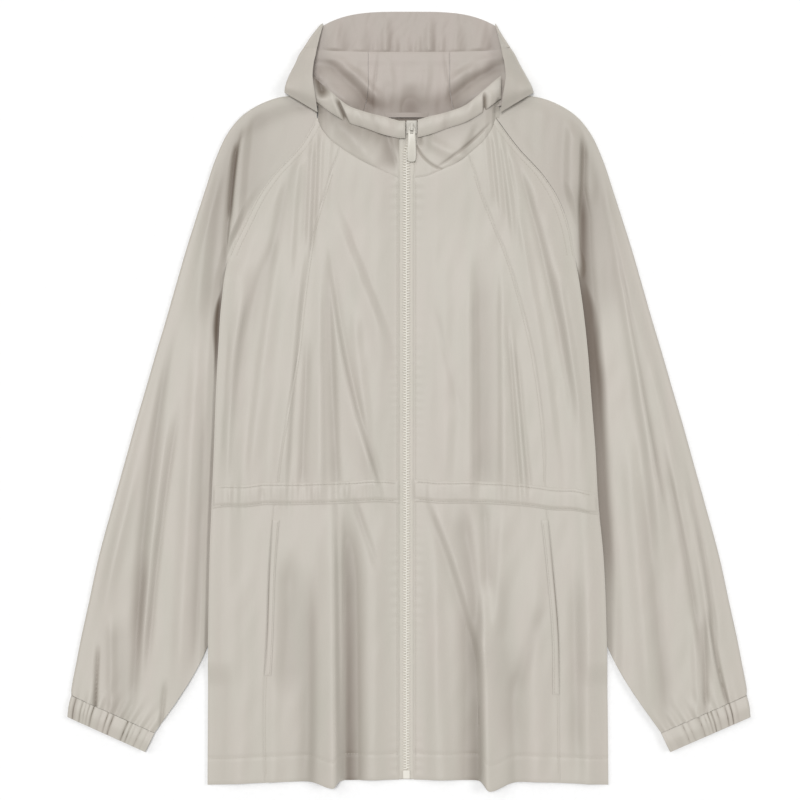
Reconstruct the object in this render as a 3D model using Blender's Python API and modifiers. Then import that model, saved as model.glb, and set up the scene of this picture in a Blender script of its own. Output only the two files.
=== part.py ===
"""Hooded windbreaker jacket, zipped up and laid on its back: the hood points to +Y and the zip faces up.

Every piece of cloth is a thin closed wall between a grid of outer points and a grid of inner points.
The grids are worked out from the seam lines seen from above and from the height at which each layer lies.
Tables and sizes are in millimetres, and the meshes are in metres.
"""

import math
from collections import namedtuple

import bmesh
import bpy
import numpy as np

MM = 0.001
LEFT, RIGHT = -1, 1
SIDE_NAMES = {LEFT: "left", RIGHT: "right"}

# Cloth and the way its layers lie on each other
BODY_CLOTH = 1.4
SLEEVE_CLOTH = 1.2
HOOD_CLOTH = 1.2
TRIM_CLOTH = 1.0
SEAM_GAP = 0.3
LAYER_GAP = 0.6
FRONT_FLOOR = BODY_CLOTH + LAYER_GAP
NECK_RISE, NECK_RISE_FROM, NECK_RISE_TO = 3.5, 190.0, 285.0

# Lines that the body is laid out on
ZIP_X = -3.0
PANEL_FROM_ZIP = 8.5
BACK_NECK_Y = 325.0
NECK_CORNER_FROM_ZIP = 102.0
HEM_Y, HEM_DROP, HALF_HEM = -435.0, 6.0, 230.0
HEM_ROWS = (0.0, 0.5)
LEVELS = (-380, -337, -315, -284, -250, -215, -180, -137, -119, -93, -60, -20, 20, 60, 100, 135, 168)
YOKE_ROWS = 6
CASING_LEVELS = (-119, -93)
POCKET_LEVELS = {LEFT: (-315, -137), RIGHT: (-337, -137)}
WAIST_Y, WAIST_REACH, WAIST_RISE, WAIST_DROPS = -106.0, 30.0, 2.5, {LEFT: 8.0, RIGHT: 16.0}
WELT_WIDTH = 7.0
PANEL_COLUMNS = 11
SIDE_FIRST_COLUMN = 0.1
BACK_MIDDLE_COLUMNS = (0.3, 0.5, 0.7)
SEAM_MEETING_STEPS = 20

BodyRow = namedtuple("BodyRow", "y left_edge left_princess right_princess right_edge")
BODY = (
    BodyRow(-450, -231.5, -166.0, 174.0, 229.0),
    BodyRow(-344, -231.0, -167.0, 172.5, 228.0),
    BodyRow(-274, -230.6, -163.5, 172.0, 227.0),
    BodyRow(-183, -229.0, -160.0, 164.5, 223.5),
    BodyRow(-114, -226.6, -154.0, 157.6, 217.4),
    BodyRow(-56, -224.0, -147.0, 156.0, 214.0),
    BodyRow(1, -222.0, -137.0, 150.6, 209.5),
    BodyRow(59, -219.0, -127.0, 141.5, 205.0),
    BodyRow(116, -215.0, -121.0, 127.7, 198.5),
    BodyRow(168, -206.0, -114.0, 112.0, 190.0),
    BodyRow(202, -190.0, -108.0, 98.0, 183.0),
    BodyRow(237, -172.0, -97.5, 84.0, 169.0),
    BodyRow(258, -157.0, -91.0, 77.0, 155.0),
    BodyRow(290, -127.0, -79.5, 66.0, 126.0),
    BodyRow(326, -105.0, -68.0, 54.0, 99.0),
)

NeckRow = namedtuple("NeckRow", "from_zip left_y right_y")
NECK = (
    NeckRow(8.5, 256.0, 256.0),
    NeckRow(21.5, 261.5, 257.7),
    NeckRow(40.0, 270.0, 265.0),
    NeckRow(62.0, 281.8, 276.0),
    NeckRow(76.0, 291.0, 287.0),
    NeckRow(92.0, 305.0, 303.0),
    NeckRow(99.0, 316.0, 315.0),
    NeckRow(102.0, 325.0, 324.0),
)

# Folds of cloth: a crest from the first point to the second, with a half width and a height at each end
Fold = namedtuple("Fold", "x0 y0 x1 y1 width0 width1 height0 height1")
FOLD_FADE = 28.0
LEFT_FRONT_FOLDS = (
    Fold(-90, -131, -93, -460, 9, 17, 2, 14),
    Fold(-39, -148, -42, -460, 15, 20, 2, 4),
    Fold(-127, -160, -132, -460, 13, 17, 2, 5),
    Fold(-197, -160, -197, -460, 15, 18, 2, 4),
    Fold(-100, 190, -26, -22, 9, 13, 4, 6),
    Fold(-105, 127, -47, -80, 9, 12, 5, 6),
    Fold(-118, 81, -91, -84, 8, 9, 4, 5),
    Fold(-132, 255, -169, -80, 9, 12, 5, 5),
    Fold(-150, 215, -196, -80, 8, 11, 4, 5),
)
RIGHT_FRONT_FOLDS = (
    Fold(75, -200, 101, -460, 10, 17, 3, 14),
    Fold(22, -137, 53, -460, 11, 16, 3, 6),
    Fold(139, -160, 145, -460, 13, 17, 2, 4),
    Fold(199, -160, 202, -460, 13, 16, 2, 4),
    Fold(49, 202, 56, -84, 10, 11, 4, 7),
    Fold(95, 179, 111, -84, 10, 11, 4, 7),
    Fold(124, 250, 180, -80, 9, 12, 4, 5),
    Fold(148, 215, 202, -45, 8, 11, 3, 4),
)
SLEEVE_FOLDS = (
    Fold(208, 250, 322, -230, 10, 13, 5, 5),
    Fold(236, 200, 358, -270, 8, 11, 3, 5),
    Fold(228, 70, 272, -250, 9, 12, 4, 6),
    Fold(250, 116, 323, -80, 8, 10, 3, 4),
    Fold(302, -183, 350, -325, 9, 9, 4, 5),
)
# Where a front fold meets the hem it drops the edge
HemFlute = namedtuple("HemFlute", "x width drop")
HEM_FLUTES = (HemFlute(-90, 12, 7.5), HemFlute(97, 15, 12.4))

NECK_GATHERS, NECK_GATHER_REACHES = 5, (150.0, 100.0)
NECK_GATHER_WIDTHS, NECK_GATHER_HEIGHT = (3.0, 7.0), 3.2
CALM_AT_ZIP, CALM_AT_EDGE = (12.0, 18.0), (0.5, 8.0)

# The sleeve: its inner edge past the body's edge (below nought it lies under the body) and its outer fold
SleeveRow = namedtuple("SleeveRow", "in_y past_edge out_x out_y")
SLEEVE = (
    SleeveRow(325.0, 0.6, 106.0, 351.0),
    SleeveRow(298.8, 0.6, 150.0, 348.5),
    SleeveRow(272.7, 0.6, 186.0, 332.0),
    SleeveRow(246.5, 0.6, 208.0, 308.0),
    SleeveRow(220.3, 0.6, 223.0, 276.0),
    SleeveRow(194.2, 0.6, 234.0, 243.0),
    SleeveRow(168.0, 0.6, 245.0, 209.0),
    SleeveRow(135.0, 0.6, 256.0, 174.0),
    SleeveRow(100.0, -4.0, 267.0, 136.0),
    SleeveRow(60.0, -10.0, 279.0, 94.0),
    SleeveRow(20.0, -12.0, 291.0, 54.0),
    SleeveRow(-20.0, -12.0, 302.5, 14.0),
    SleeveRow(-60.0, -12.0, 314.0, -25.0),
    SleeveRow(-106.0, -12.0, 326.5, -70.0),
    SleeveRow(-158.0, -12.0, 340.5, -120.0),
    SleeveRow(-215.0, -11.0, 356.0, -177.0),
    SleeveRow(-262.0, -6.0, 368.0, -232.0),
    SleeveRow(-292.0, 5.0, 377.0, -273.0),
    SleeveRow(-318.0, 18.5, 382.0, -299.0),
    SleeveRow(-344.0, 35.0, 386.0, -319.0),
    SleeveRow(-364.0, 49.0, 388.0, -331.0),
    SleeveRow(-381.0, 61.0, 388.0, -338.0),
)
SLEEVE_COLUMNS = 20
SLEEVE_HEIGHT, SLEEVE_FOLD_HEIGHT, SLEEVE_HIDDEN_HEIGHT = 6.0, 4.5, 2.8
SLEEVE_HIDDEN_FROM, SLEEVE_HIDDEN_TO = 136.0, -298.0
SLEEVE_WINDOW_FADE = 32.0
SLEEVE_STRIP = 13.0
SLEEVE_LIFT = SLEEVE_HIDDEN_HEIGHT + LAYER_GAP
BACK_RAMP, FRONT_RAMP = 13.0, 27.0
SLEEVE_RISE = (3.0, 18.0)
TURN_OUT, TURN_POINTS = 3.0, 3
FLOOR_POINTS = 4
CUFF_GATHERS, CUFF_GATHER_REACHES = 8, (40.0, 66.0, 52.0)
CUFF_GATHER_WIDTHS, CUFF_GATHER_HEIGHT = (4.0, 7.0), 2.6

# The cuff: how far each section lies below the sleeve's end, and how far its ends are drawn in
CuffRow = namedtuple("CuffRow", "below draw_in draw_out height pleat")
CUFF = (
    CuffRow(0.4, 0.0, 0.0, 4.6, 1.6),
    CuffRow(12.5, 0.3, 2.2, 5.4, 2.0),
    CuffRow(24.5, 0.8, 6.0, 4.4, 1.8),
)
CUFF_SECTIONS, CUFF_COLUMNS = 4, 33

# The hood: from its open edge to its outer fold, under to a middle line, and on to the nape strip.
# Its right fold lies further in than its left one.
HoodRow = namedtuple(
    "HoodRow",
    "open_x open_y open_z fold_x right_in fold_y fold_z fold_height mid_x mid_y mid_z seam_x seam_y seam_z",
)
HOOD = (
    HoodRow(104.5, 330.0, 20, 143, 0.0, 353.5, 8.4, 6, 104, 338, 8.4, 56, 325.4, 0),
    HoodRow(107.0, 348.0, 25, 142, 1.5, 361.0, 6.4, 8, 100, 350, 4.8, 50, 341.0, 0),
    HoodRow(110.0, 369.0, 26, 138, 3.5, 373.0, 2.0, 10, 96, 366, 0.0, 47, 360.0, 0),
    HoodRow(109.0, 385.0, 22, 131, 4.0, 387.0, 0.0, 9, 92, 384, 0.0, 47, 380.0, 0),
    HoodRow(107.0, 395.0, 18, 126.5, 4.6, 397.0, 1.9, 7.5, 90, 393, 1.9, 47, 392.0, 1.9),
    HoodRow(105.5, 403.5, 15, 121, 4.6, 405.5, 2.2, 6, 88, 402, 2.2, 47, 401.0, 2.2),
)
HOOD_SECTIONS, HOOD_TOP_STEPS, HOOD_UNDER_STEPS = 9, (5,), (3, 3)
NAPE_COLUMNS = 6

BrimRow = namedtuple("BrimRow", "open_x open_y open_z fold_x right_in fold_y fold_height centre_y arc")
BRIM = (
    BrimRow(105.3, 404.2, 14.5, 120.8, 4.6, 406.3, 6.0, 397.0, 3.0),
    BrimRow(102.5, 417.0, 10.0, 112.0, 4.5, 419.0, 5.2, 422.0, 3.4),
    BrimRow(99.0, 430.0, 5.2, 102.0, 0.0, 431.0, 4.2, 447.3, 3.6),
)
BRIM_SECTIONS, BRIM_FLOOR_POINTS, BRIM_END_STEPS = 6, 13, (2,)

FrontEndRow = namedtuple("FrontEndRow", "from_zip low_y high_y low_z high_z")
FRONT_END = (
    FrontEndRow(8.5, 301.0, 321.0, 10.6, 12.0),
    FrontEndRow(24.6, 304.6, 325.3, 11.6, 13.6),
    FrontEndRow(47.6, 312.6, 331.0, 12.8, 15.4),
    FrontEndRow(68.3, 319.5, 339.0, 14.0, 16.6),
    FrontEndRow(88.0, 331.0, 355.0, 15.2, 17.4),
    FrontEndRow(101.7, 341.3, 367.0, 15.8, 17.2),
    FrontEndRow(108.0, 346.0, 372.0, 16.0, 16.8),
)
FRONT_END_SECTIONS, FRONT_END_COLUMNS, FRONT_END_BULGE = 12, 5, 1.6
FRONT_END_FROM_ZIP = {LEFT: 3.0, RIGHT: 13.0}
COLLAR_SECTIONS, COLLAR_COLUMNS, COLLAR_BULGE, COLLAR_TUCK = 14, 5, 1.5, 5.0
COLLAR_FROM_ZIP, COLLAR_TOP_Z, COLLAR_LEAN = (8.5, 101.4), (8.8, 13.0), {LEFT: 0.0, RIGHT: 4.5}

# The zip and its pull tab
ZIP_FLOOR = 1.8
TAPE_REACH, TAPE_THICK = 15.0, 1.0
CHAIN_HALF, CHAIN_THICK, CHAIN_GAP = 4.0, 2.8, 0.3
ZIP_LAND = ZIP_FLOOR + TAPE_THICK + SEAM_GAP - FRONT_FLOOR
ZIP_BOTTOM_Y, ZIP_TOP_Y = -434.0, 320.0
ZIP_BEND_STEP, ZIP_BEND_PAST = 5, 10
ZIP_LEAN, ZIP_LEAN_FROM, ZIP_LEAN_TO = 6.0, 284.0, 304.0
BOX_LENGTH, BOX_TALLER, BOX_BEVEL = 10.0, 0.6, 0.6
SLIDER_Y, SLIDER_LENGTH, SLIDER_PLATE_HALF = 314.0, 15.0, 6.0
SLIDER_BODY_TALL, SLIDER_PLATE_THICK = 3.6, 1.2
SLIDER_BODY_HALF, SLIDER_JOIN, SLIDER_BEVEL = 3.9, 0.4, 0.25
BRIDGE_HALF, BRIDGE_LEG, BRIDGE_CLEAR, BRIDGE_TALL = 1.5, 1.4, 3.0, 3.0
TAB_LENGTH, TAB_THICK, TAB_BAR = 40.0, 1.6, 0.8
TAB_NECK_HALF, TAB_END_HALF, TAB_WINDOW_HALF, TAB_WINDOW = 4.2, 5.2, 2.2, 8.0
TAB_TILT, TAB_CORNERS, SAME_POINT = math.radians(2.3), 12, 1e-6

LOOP_X, LOOP_Y, LOOP_THICK, LOOP_FLOOR, LOOP_BOW = (-27.5, 22.0), (325.5, 331.0), 1.0, 1.8, 2.0
LOOP_SECTIONS = 9

CLOTH_COLOUR, CLOTH_ROUGHNESS = (0.565, 0.535, 0.48), 0.7
LINING_COLOUR = (0.53, 0.485, 0.45)
PLASTIC_COLOUR, PLASTIC_ROUGHNESS = (0.66, 0.63, 0.57), 0.4
SHARP_ANGLE = math.radians(50)
BEVEL_STEPS = 2


def column(table, name):
    return np.array([getattr(row, name) for row in table], float)


def smooth(keys, values, at):
    """Values of a smooth curve through a table's points, read at the given keys."""
    keys, values, at = np.asarray(keys, float), np.asarray(values, float), np.asarray(at, float)
    slopes = np.gradient(values, keys)
    cell = np.clip(np.searchsorted(keys, at) - 1, 0, len(keys) - 2)
    step = keys[cell + 1] - keys[cell]
    t = np.clip((at - keys[cell]) / step, 0, 1)
    rise = values[cell + 1] - values[cell]
    start, end = slopes[cell] * step, slopes[cell + 1] * step
    return values[cell] + t * (start + t * (3 * rise - 2 * start - end + t * (start + end - 2 * rise)))


def step_up(value):
    """0 below nought, 1 above one, and a soft S between."""
    t = np.clip(value, 0, 1)
    return t * t * (3 - 2 * t)


def body_line(name, side, y):
    """x of the body's edge or princess seam on one side, at a given y."""
    return smooth(column(BODY, "y"), column(BODY, f"{SIDE_NAMES[side]}_{name}"), y)


def neck_line(side, from_zip):
    return smooth(column(NECK, "from_zip"), column(NECK, f"{SIDE_NAMES[side]}_y"), from_zip)


def hem_line(x):
    y = HEM_Y - HEM_DROP * (np.abs(x) / HALF_HEM) ** 2
    for flute in HEM_FLUTES:
        y = y - flute.drop * np.exp(-(((x - flute.x) / flute.width) ** 2))
    return y


def princess_top(side):
    """Where the princess seam meets the neckline, found by going from one to the other."""
    y = BACK_NECK_Y
    for _ in range(SEAM_MEETING_STEPS):
        x = body_line("princess", side, y)
        y = neck_line(side, abs(x - ZIP_X))
    return float(x), float(y)


def fold_heights(folds, x, y):
    """The summed height of all folds over the points x, y."""
    total = np.zeros(np.broadcast(x, y).shape)
    for fold in folds:
        run, climb = fold.x1 - fold.x0, fold.y1 - fold.y0
        length = math.hypot(run, climb)
        along = ((x - fold.x0) * run + (y - fold.y0) * climb) / length
        across = ((x - fold.x0) * climb - (y - fold.y0) * run) / length
        part = np.clip(along / length, 0, 1)
        width = fold.width0 + (fold.width1 - fold.width0) * part
        height = fold.height0 + (fold.height1 - fold.height0) * part
        beyond = np.maximum(-along, along - length)
        total = total + height * np.exp(-((across / width) ** 2)) * (1 - step_up(beyond / FOLD_FADE))
    return total


def neck_gathers(side):
    """Small folds that spread from the neckline between the raglan corner and the princess seam."""
    corner_x = abs(body_line("edge", side, BACK_NECK_Y) - ZIP_X)
    top_x = abs(princess_top(side)[0] - ZIP_X)
    folds = []
    for i in range(NECK_GATHERS):
        part = (i + 0.5) / NECK_GATHERS
        from_zip = corner_x + (top_x - corner_x) * part
        y = float(neck_line(side, min(from_zip, NECK_CORNER_FROM_ZIP)))
        end_y = y - NECK_GATHER_REACHES[i % len(NECK_GATHER_REACHES)]
        edge, princess = body_line("edge", side, end_y), body_line("princess", side, end_y)
        end_x = float(edge + (princess - edge) * part)
        start_x = ZIP_X + side * from_zip
        folds.append(Fold(start_x, y, end_x, end_y, *NECK_GATHER_WIDTHS, NECK_GATHER_HEIGHT, 0))
    return tuple(folds)


FRONT_FOLDS = {
    LEFT: LEFT_FRONT_FOLDS + neck_gathers(LEFT),
    RIGHT: RIGHT_FRONT_FOLDS + neck_gathers(RIGHT),
}


def neck_rise(y):
    return NECK_RISE * step_up((y - NECK_RISE_FROM) / (NECK_RISE_TO - NECK_RISE_FROM))


def sleeve_lift(side, x, y, ramp):
    """How far a body layer is lifted where it lies over the sleeve's hidden edge."""
    inside = side * (body_line("edge", side, y) - x)
    over = 1 - step_up((inside - SLEEVE_STRIP) / ramp)
    above = 1 - step_up((y - SLEEVE_HIDDEN_FROM) / SLEEVE_WINDOW_FADE)
    below = 1 - step_up((SLEEVE_HIDDEN_TO - y) / SLEEVE_WINDOW_FADE)
    return SLEEVE_LIFT * over * above * below


def front_under(side, x, y):
    """Height of the front cloth's underside: flat on the back, plus folds, calm at the zip and the edge."""
    from_zip = np.abs(x - ZIP_X)
    inside = side * (body_line("edge", side, y) - x)
    calm = step_up((from_zip - CALM_AT_ZIP[0]) / CALM_AT_ZIP[1])
    calm = calm * step_up((inside - CALM_AT_EDGE[0]) / CALM_AT_EDGE[1])
    land = ZIP_LAND * (1 - step_up((from_zip - TAPE_REACH) / CALM_AT_ZIP[1]))
    lift = sleeve_lift(side, x, y, FRONT_RAMP)
    return FRONT_FLOOR + neck_rise(y) + land + lift + calm * fold_heights(FRONT_FOLDS[side], x, y)


def material(name, colour, roughness):
    made = bpy.data.materials.new(name)
    made.use_nodes = True
    shader = made.node_tree.nodes["Principled BSDF"]
    shader.inputs["Base Color"].default_value = (*colour, 1)
    shader.inputs["Roughness"].default_value = roughness
    return made


def keep(name, mesh, colour, roughness, origin=(0, 0, 0)):
    """Links a finished mesh as one named piece with its own material."""
    mesh.materials.append(material(name, colour, roughness))
    piece = bpy.data.objects.new(name, mesh)
    piece.location = origin
    jacket.objects.link(piece)
    return piece


def wall(name, outer, inner, colour=CLOTH_COLOUR, roughness=CLOTH_ROUGHNESS):
    """A closed wall of cloth between two grids of points, given as rows x columns x 3 in millimetres."""
    rows, columns = outer.shape[:2]
    grid = bmesh.new()
    bmesh.ops.create_grid(grid, x_segments=columns - 1, y_segments=rows - 1, size=1)
    place = grid.verts.layers.int.new("place")
    for index, vertex in enumerate(grid.verts):
        vertex[place] = index
        vertex.co = outer.reshape(-1, 3)[index] * MM
    made = bmesh.ops.extrude_face_region(grid, geom=grid.faces[:])
    for vertex in made["geom"]:
        if isinstance(vertex, bmesh.types.BMVert):
            vertex.co = inner.reshape(-1, 3)[vertex[place]] * MM
    bmesh.ops.recalc_face_normals(grid, faces=grid.faces[:])
    grid.verts.layers.int.remove(place)
    mesh = bpy.data.meshes.new(name)
    grid.to_mesh(mesh)
    grid.free()
    mesh.shade_smooth()
    mesh.set_sharp_from_angle(angle=SHARP_ANGLE)
    return keep(name, mesh, colour, roughness)


def lifted(under, thick):
    """The top grid that lies straight above an underside grid."""
    top = under.copy()
    top[..., 2] += thick
    return top


def blend_grid(near, far, across, first_row, last_row, hem_part, top_part):
    """Plan points between two edge lines, bent so that the end rows follow their own curves.

    near, far: rows x 2 points along the two edges. first_row, last_row: the curves of the end rows.
    """
    across = across[None, :, None]
    grid = near[:, None] + (far - near)[:, None] * across
    for weights, row, ends in ((hem_part, first_row, 0), (top_part, last_row, -1)):
        grid = grid + weights[:, None, None] * (row - (near[ends] + (far - near)[ends] * across[0]))[None]
    return grid


def row_weights():
    """How much each body row follows the hem and the neckline."""
    hem = np.concatenate([1 - np.array(HEM_ROWS), np.zeros(len(LEVELS) + YOKE_ROWS)])
    yoke = np.arange(1, YOKE_ROWS + 1) / YOKE_ROWS
    top = np.concatenate([np.zeros(len(HEM_ROWS) + len(LEVELS)), yoke])
    return hem, top


def row_heights(hem_y, top_y):
    """The y of each body row along an edge that starts at hem_y and ends at top_y."""
    hem = hem_y + (LEVELS[0] - hem_y) * np.array(HEM_ROWS)
    yoke = LEVELS[-1] + (top_y - LEVELS[-1]) * np.arange(1, YOKE_ROWS + 1) / YOKE_ROWS
    return np.concatenate([hem, LEVELS, yoke])


def princess_edge(side):
    hem_x = float(body_line("princess", side, HEM_Y))
    y = row_heights(float(hem_line(hem_x)), princess_top(side)[1])
    return np.stack([body_line("princess", side, y), y], axis=1)


def side_edge(side, top_y=BACK_NECK_Y):
    hem_x = float(body_line("edge", side, HEM_Y))
    y = row_heights(float(hem_line(hem_x)), top_y)
    return np.stack([body_line("edge", side, y), y], axis=1)


def zip_edge(side):
    x = ZIP_X + side * PANEL_FROM_ZIP
    y = row_heights(float(hem_line(x)), float(neck_line(side, PANEL_FROM_ZIP)))
    return np.stack([np.full(len(y), x), y], axis=1)


def waist_shift(side, x, y):
    """How far the waist's elastic moves a point: up near the zip, down towards the side."""
    across = (x - ZIP_X) / (body_line("edge", side, WAIST_Y) - ZIP_X)
    return (WAIST_RISE - WAIST_DROPS[side] * across**2) * np.exp(-(((y - WAIST_Y) / WAIST_REACH) ** 2))


def front_panel(side, near, far, near_gap, far_gap, across):
    """Underside points of one front panel between two seam lines."""
    near, far = near.copy(), far.copy()
    near[:, 0] -= side * near_gap
    far[:, 0] += side * far_gap
    hem_x = near[0, 0] + (far - near)[0, 0] * across
    first = np.stack([hem_x, hem_line(hem_x)], axis=1)
    top_x = near[-1, 0] + (far - near)[-1, 0] * across
    top_y = neck_line(side, np.clip(np.abs(top_x - ZIP_X), PANEL_FROM_ZIP, NECK_CORNER_FROM_ZIP))
    plan = blend_grid(near, far, across, first, np.stack([top_x, top_y], axis=1), *row_weights())
    x = plan[..., 0]
    y = plan[..., 1] + waist_shift(side, x, plan[..., 1])
    return np.stack([x, y, front_under(side, x, y)], axis=-1)


def level_rows(low, high):
    """The body rows from one level to another."""
    first = len(HEM_ROWS) + LEVELS.index(low)
    last = len(HEM_ROWS) + LEVELS.index(high)
    return slice(first, last + 1)


def front_pieces(side):
    """The two front panels, and the casing and the welt that lie on them."""
    name = SIDE_NAMES[side]
    seam = princess_edge(side)
    width = abs(seam[len(HEM_ROWS), 0] - ZIP_X)
    centre_across = np.concatenate([[0], np.linspace(WELT_WIDTH / width, 1, PANEL_COLUMNS)])
    side_across = np.concatenate([[0], np.linspace(SIDE_FIRST_COLUMN, 1, PANEL_COLUMNS)])
    centre = front_panel(side, seam, zip_edge(side), SEAM_GAP / 2, 0, centre_across)
    flank = front_panel(side, side_edge(side), seam, 0, SEAM_GAP / 2, side_across)
    wall(f"front_{name}_center", lifted(centre, BODY_CLOTH), centre)
    wall(f"front_{name}_side", lifted(flank, BODY_CLOTH), flank)
    rows = level_rows(*CASING_LEVELS)
    casing = lifted(np.concatenate([flank[rows, 1:], centre[rows]], axis=1), BODY_CLOTH + SEAM_GAP)
    wall(f"waist_casing_{name}", lifted(casing, TRIM_CLOTH), casing)
    welt = lifted(centre[level_rows(*POCKET_LEVELS[side]), :2], BODY_CLOTH + SEAM_GAP)
    wall(f"pocket_welt_{name}", lifted(welt, TRIM_CLOTH), welt)


def back_panel():
    """The back, flat on the surface, with its sides lifted over the sleeves' hidden edges."""
    left, right = side_edge(LEFT), side_edge(RIGHT)
    ramp = np.array([0, SLEEVE_STRIP, SLEEVE_STRIP + BACK_RAMP / 2, SLEEVE_STRIP + BACK_RAMP])
    ramp = ramp / (2 * HALF_HEM)
    across = np.concatenate([ramp, BACK_MIDDLE_COLUMNS, 1 - ramp[::-1]])
    hem_x = left[0, 0] + (right - left)[0, 0] * across
    first = np.stack([hem_x, HEM_Y - HEM_DROP * (hem_x / HALF_HEM) ** 2], axis=1)
    last = left[-1] + (right - left)[-1] * across[:, None]
    plan = blend_grid(left, right, across, first, last, *row_weights())
    x, y = plan[..., 0], plan[..., 1]
    lift = np.where(
        x < 0, sleeve_lift(LEFT, x, y, BACK_RAMP), sleeve_lift(RIGHT, x, y, BACK_RAMP)
    )
    under = np.stack([x, y, lift], axis=-1)
    wall("back_panel", lifted(under, BODY_CLOTH), under)


def folded_section(top, floor, thick):
    """One section of cloth folded on itself: its top layer, the turn, and its lower layer.

    top runs to the turn and floor runs back from it. Both give outer points, and the wall lies inside them.
    """
    out = top[-1, :2] - top[0, :2]
    out = np.append(out / np.linalg.norm(out), 0)
    up = np.array([0, 0, 1])
    centre = (top[-1] + floor[0]) / 2
    half_height = (top[-1, 2] - floor[0, 2]) / 2
    angles = np.linspace(math.pi / 2, -math.pi / 2, TURN_POINTS + 2)[1:-1, None]
    sideways, upright = out * np.cos(angles), up * np.sin(angles)
    turn = centre + TURN_OUT * sideways + half_height * upright
    inner_turn = centre + (TURN_OUT - thick) * sideways + (half_height - thick) * upright
    outer = np.concatenate([top, turn, floor])
    inner = np.concatenate([top - up * thick, inner_turn, floor + up * thick])
    return outer, inner


def folded_wall(name, sections, thick, colour=CLOTH_COLOUR):
    outer, inner = zip(*(folded_section(top, floor, thick) for top, floor in sections))
    wall(name, np.array(outer), np.array(inner), colour)


def sleeve_lines(side):
    """Inner and outer plan lines of a sleeve, a point for each section from the neck to the cuff."""
    in_y = column(SLEEVE, "in_y")
    in_x = body_line("edge", side, in_y) + side * column(SLEEVE, "past_edge")
    outer = np.stack([side * column(SLEEVE, "out_x"), column(SLEEVE, "out_y")], axis=1)
    return np.stack([in_x, in_y], axis=1), outer


def cuff_gathers(side, inner, outer):
    """Folds that run up the sleeve from the cuff."""
    up_sleeve = (inner[-4] + outer[-4] - inner[-1] - outer[-1]) / 2
    up_sleeve = up_sleeve / np.linalg.norm(up_sleeve)
    folds = []
    for i in range(CUFF_GATHERS):
        start = inner[-1] + (outer[-1] - inner[-1]) * (i + 0.5) / CUFF_GATHERS
        end = start + up_sleeve * CUFF_GATHER_REACHES[i % len(CUFF_GATHER_REACHES)]
        folds.append(Fold(*start, *end, *CUFF_GATHER_WIDTHS, CUFF_GATHER_HEIGHT, 0))
    return tuple(folds)


def sleeve(side):
    """A raglan sleeve folded along its outer edge, its two long edges meeting at the underarm seam."""
    inner, outer = sleeve_lines(side)
    folds = tuple(
        Fold(side * f.x0, f.y0, side * f.x1, f.y1, f.width0, f.width1, f.height0, f.height1)
        for f in SLEEVE_FOLDS
    ) + cuff_gathers(side, inner, outer)
    sections = []
    for start, end in zip(inner, outer):
        width = np.linalg.norm(end - start)
        reach = start + (end - start) * (1 - TURN_OUT / width)
        part = np.linspace(0, 1, SLEEVE_COLUMNS)
        plan = start + (reach - start) * part[:, None]
        x, y = plan[:, 0], plan[:, 1]
        at_seam = front_under(side, start[0] - side * SLEEVE[0].past_edge, start[1]) + BODY_CLOTH
        seen = step_up((start[1] - SLEEVE_HIDDEN_FROM) / SLEEVE_WINDOW_FADE)
        seam_height = SLEEVE_HIDDEN_HEIGHT + (at_seam - SLEEVE_HIDDEN_HEIGHT) * seen
        outside = side * (x - body_line("edge", side, y))
        free = SLEEVE_HEIGHT + fold_heights(folds, x, y)
        z = seam_height + (free - seam_height) * step_up((outside - SLEEVE_RISE[0]) / SLEEVE_RISE[1])
        to_fold = (1 - part) * width
        z = SLEEVE_FOLD_HEIGHT + (z - SLEEVE_FOLD_HEIGHT) * step_up(to_fold / SLEEVE_RISE[1])
        floor_part = np.linspace(1, 0, FLOOR_POINTS)
        floor = start + (reach - start) * floor_part[:, None]
        sections.append(
            (np.column_stack([plan, z]), np.column_stack([floor, np.zeros(FLOOR_POINTS)]))
        )
    folded_wall(f"sleeve_{SIDE_NAMES[side]}", sections, SLEEVE_CLOTH)


def cuff(side):
    """A gathered cuff: a flattened tube whose upper layer is pleated, open at the underarm seam."""
    keys = np.arange(len(CUFF))
    inner, outer = sleeve_lines(side)
    along = (outer[-1] - inner[-1]) / np.linalg.norm(outer[-1] - inner[-1])
    down = side * np.array([along[1], -along[0]])
    sections = []
    for at in np.linspace(0, len(CUFF) - 1, CUFF_SECTIONS):
        row = CuffRow(*(smooth(keys, column(CUFF, name), at) for name in CuffRow._fields))
        start = inner[-1] + down * row.below + along * row.draw_in
        end = outer[-1] + down * row.below - along * row.draw_out
        reach = start + (end - start) * (1 - TURN_OUT / np.linalg.norm(end - start))
        part = np.linspace(0, 1, CUFF_COLUMNS)
        plan = start + (reach - start) * part[:, None]
        wave = 0.5 - 0.5 * np.cos(2 * math.pi * CUFF_GATHERS * part)
        floor = start + (reach - start) * np.linspace(1, 0, FLOOR_POINTS)[:, None]
        sections.append(
            (
                np.column_stack([plan, row.height + row.pleat * wave]),
                np.column_stack([floor, np.zeros(FLOOR_POINTS)]),
            )
        )
    folded_wall(f"cuff_{SIDE_NAMES[side]}", sections, SLEEVE_CLOTH)


def line_points(stops, shares):
    """Points along a run of straight stretches, with a count for each stretch."""
    points = [stops[0]]
    for start, end, count in zip(stops[:-1], stops[1:], shares):
        points += [start + (end - start) * i / count for i in range(1, count + 1)]
    return np.array(points)


def hood_row(at):
    """One section of the hood between the table's rows, with nothing below the surface it lies on."""
    keys = np.arange(len(HOOD))
    row = HoodRow(*(float(smooth(keys, column(HOOD, name), at)) for name in HoodRow._fields))
    return row._replace(fold_z=max(row.fold_z, 0), mid_z=max(row.mid_z, 0), seam_z=max(row.seam_z, 0))


def fold_line(row, side):
    """x of the outer fold of the hood or brim on one side."""
    return side * (row.fold_x - (row.right_in if side == RIGHT else 0))


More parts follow.
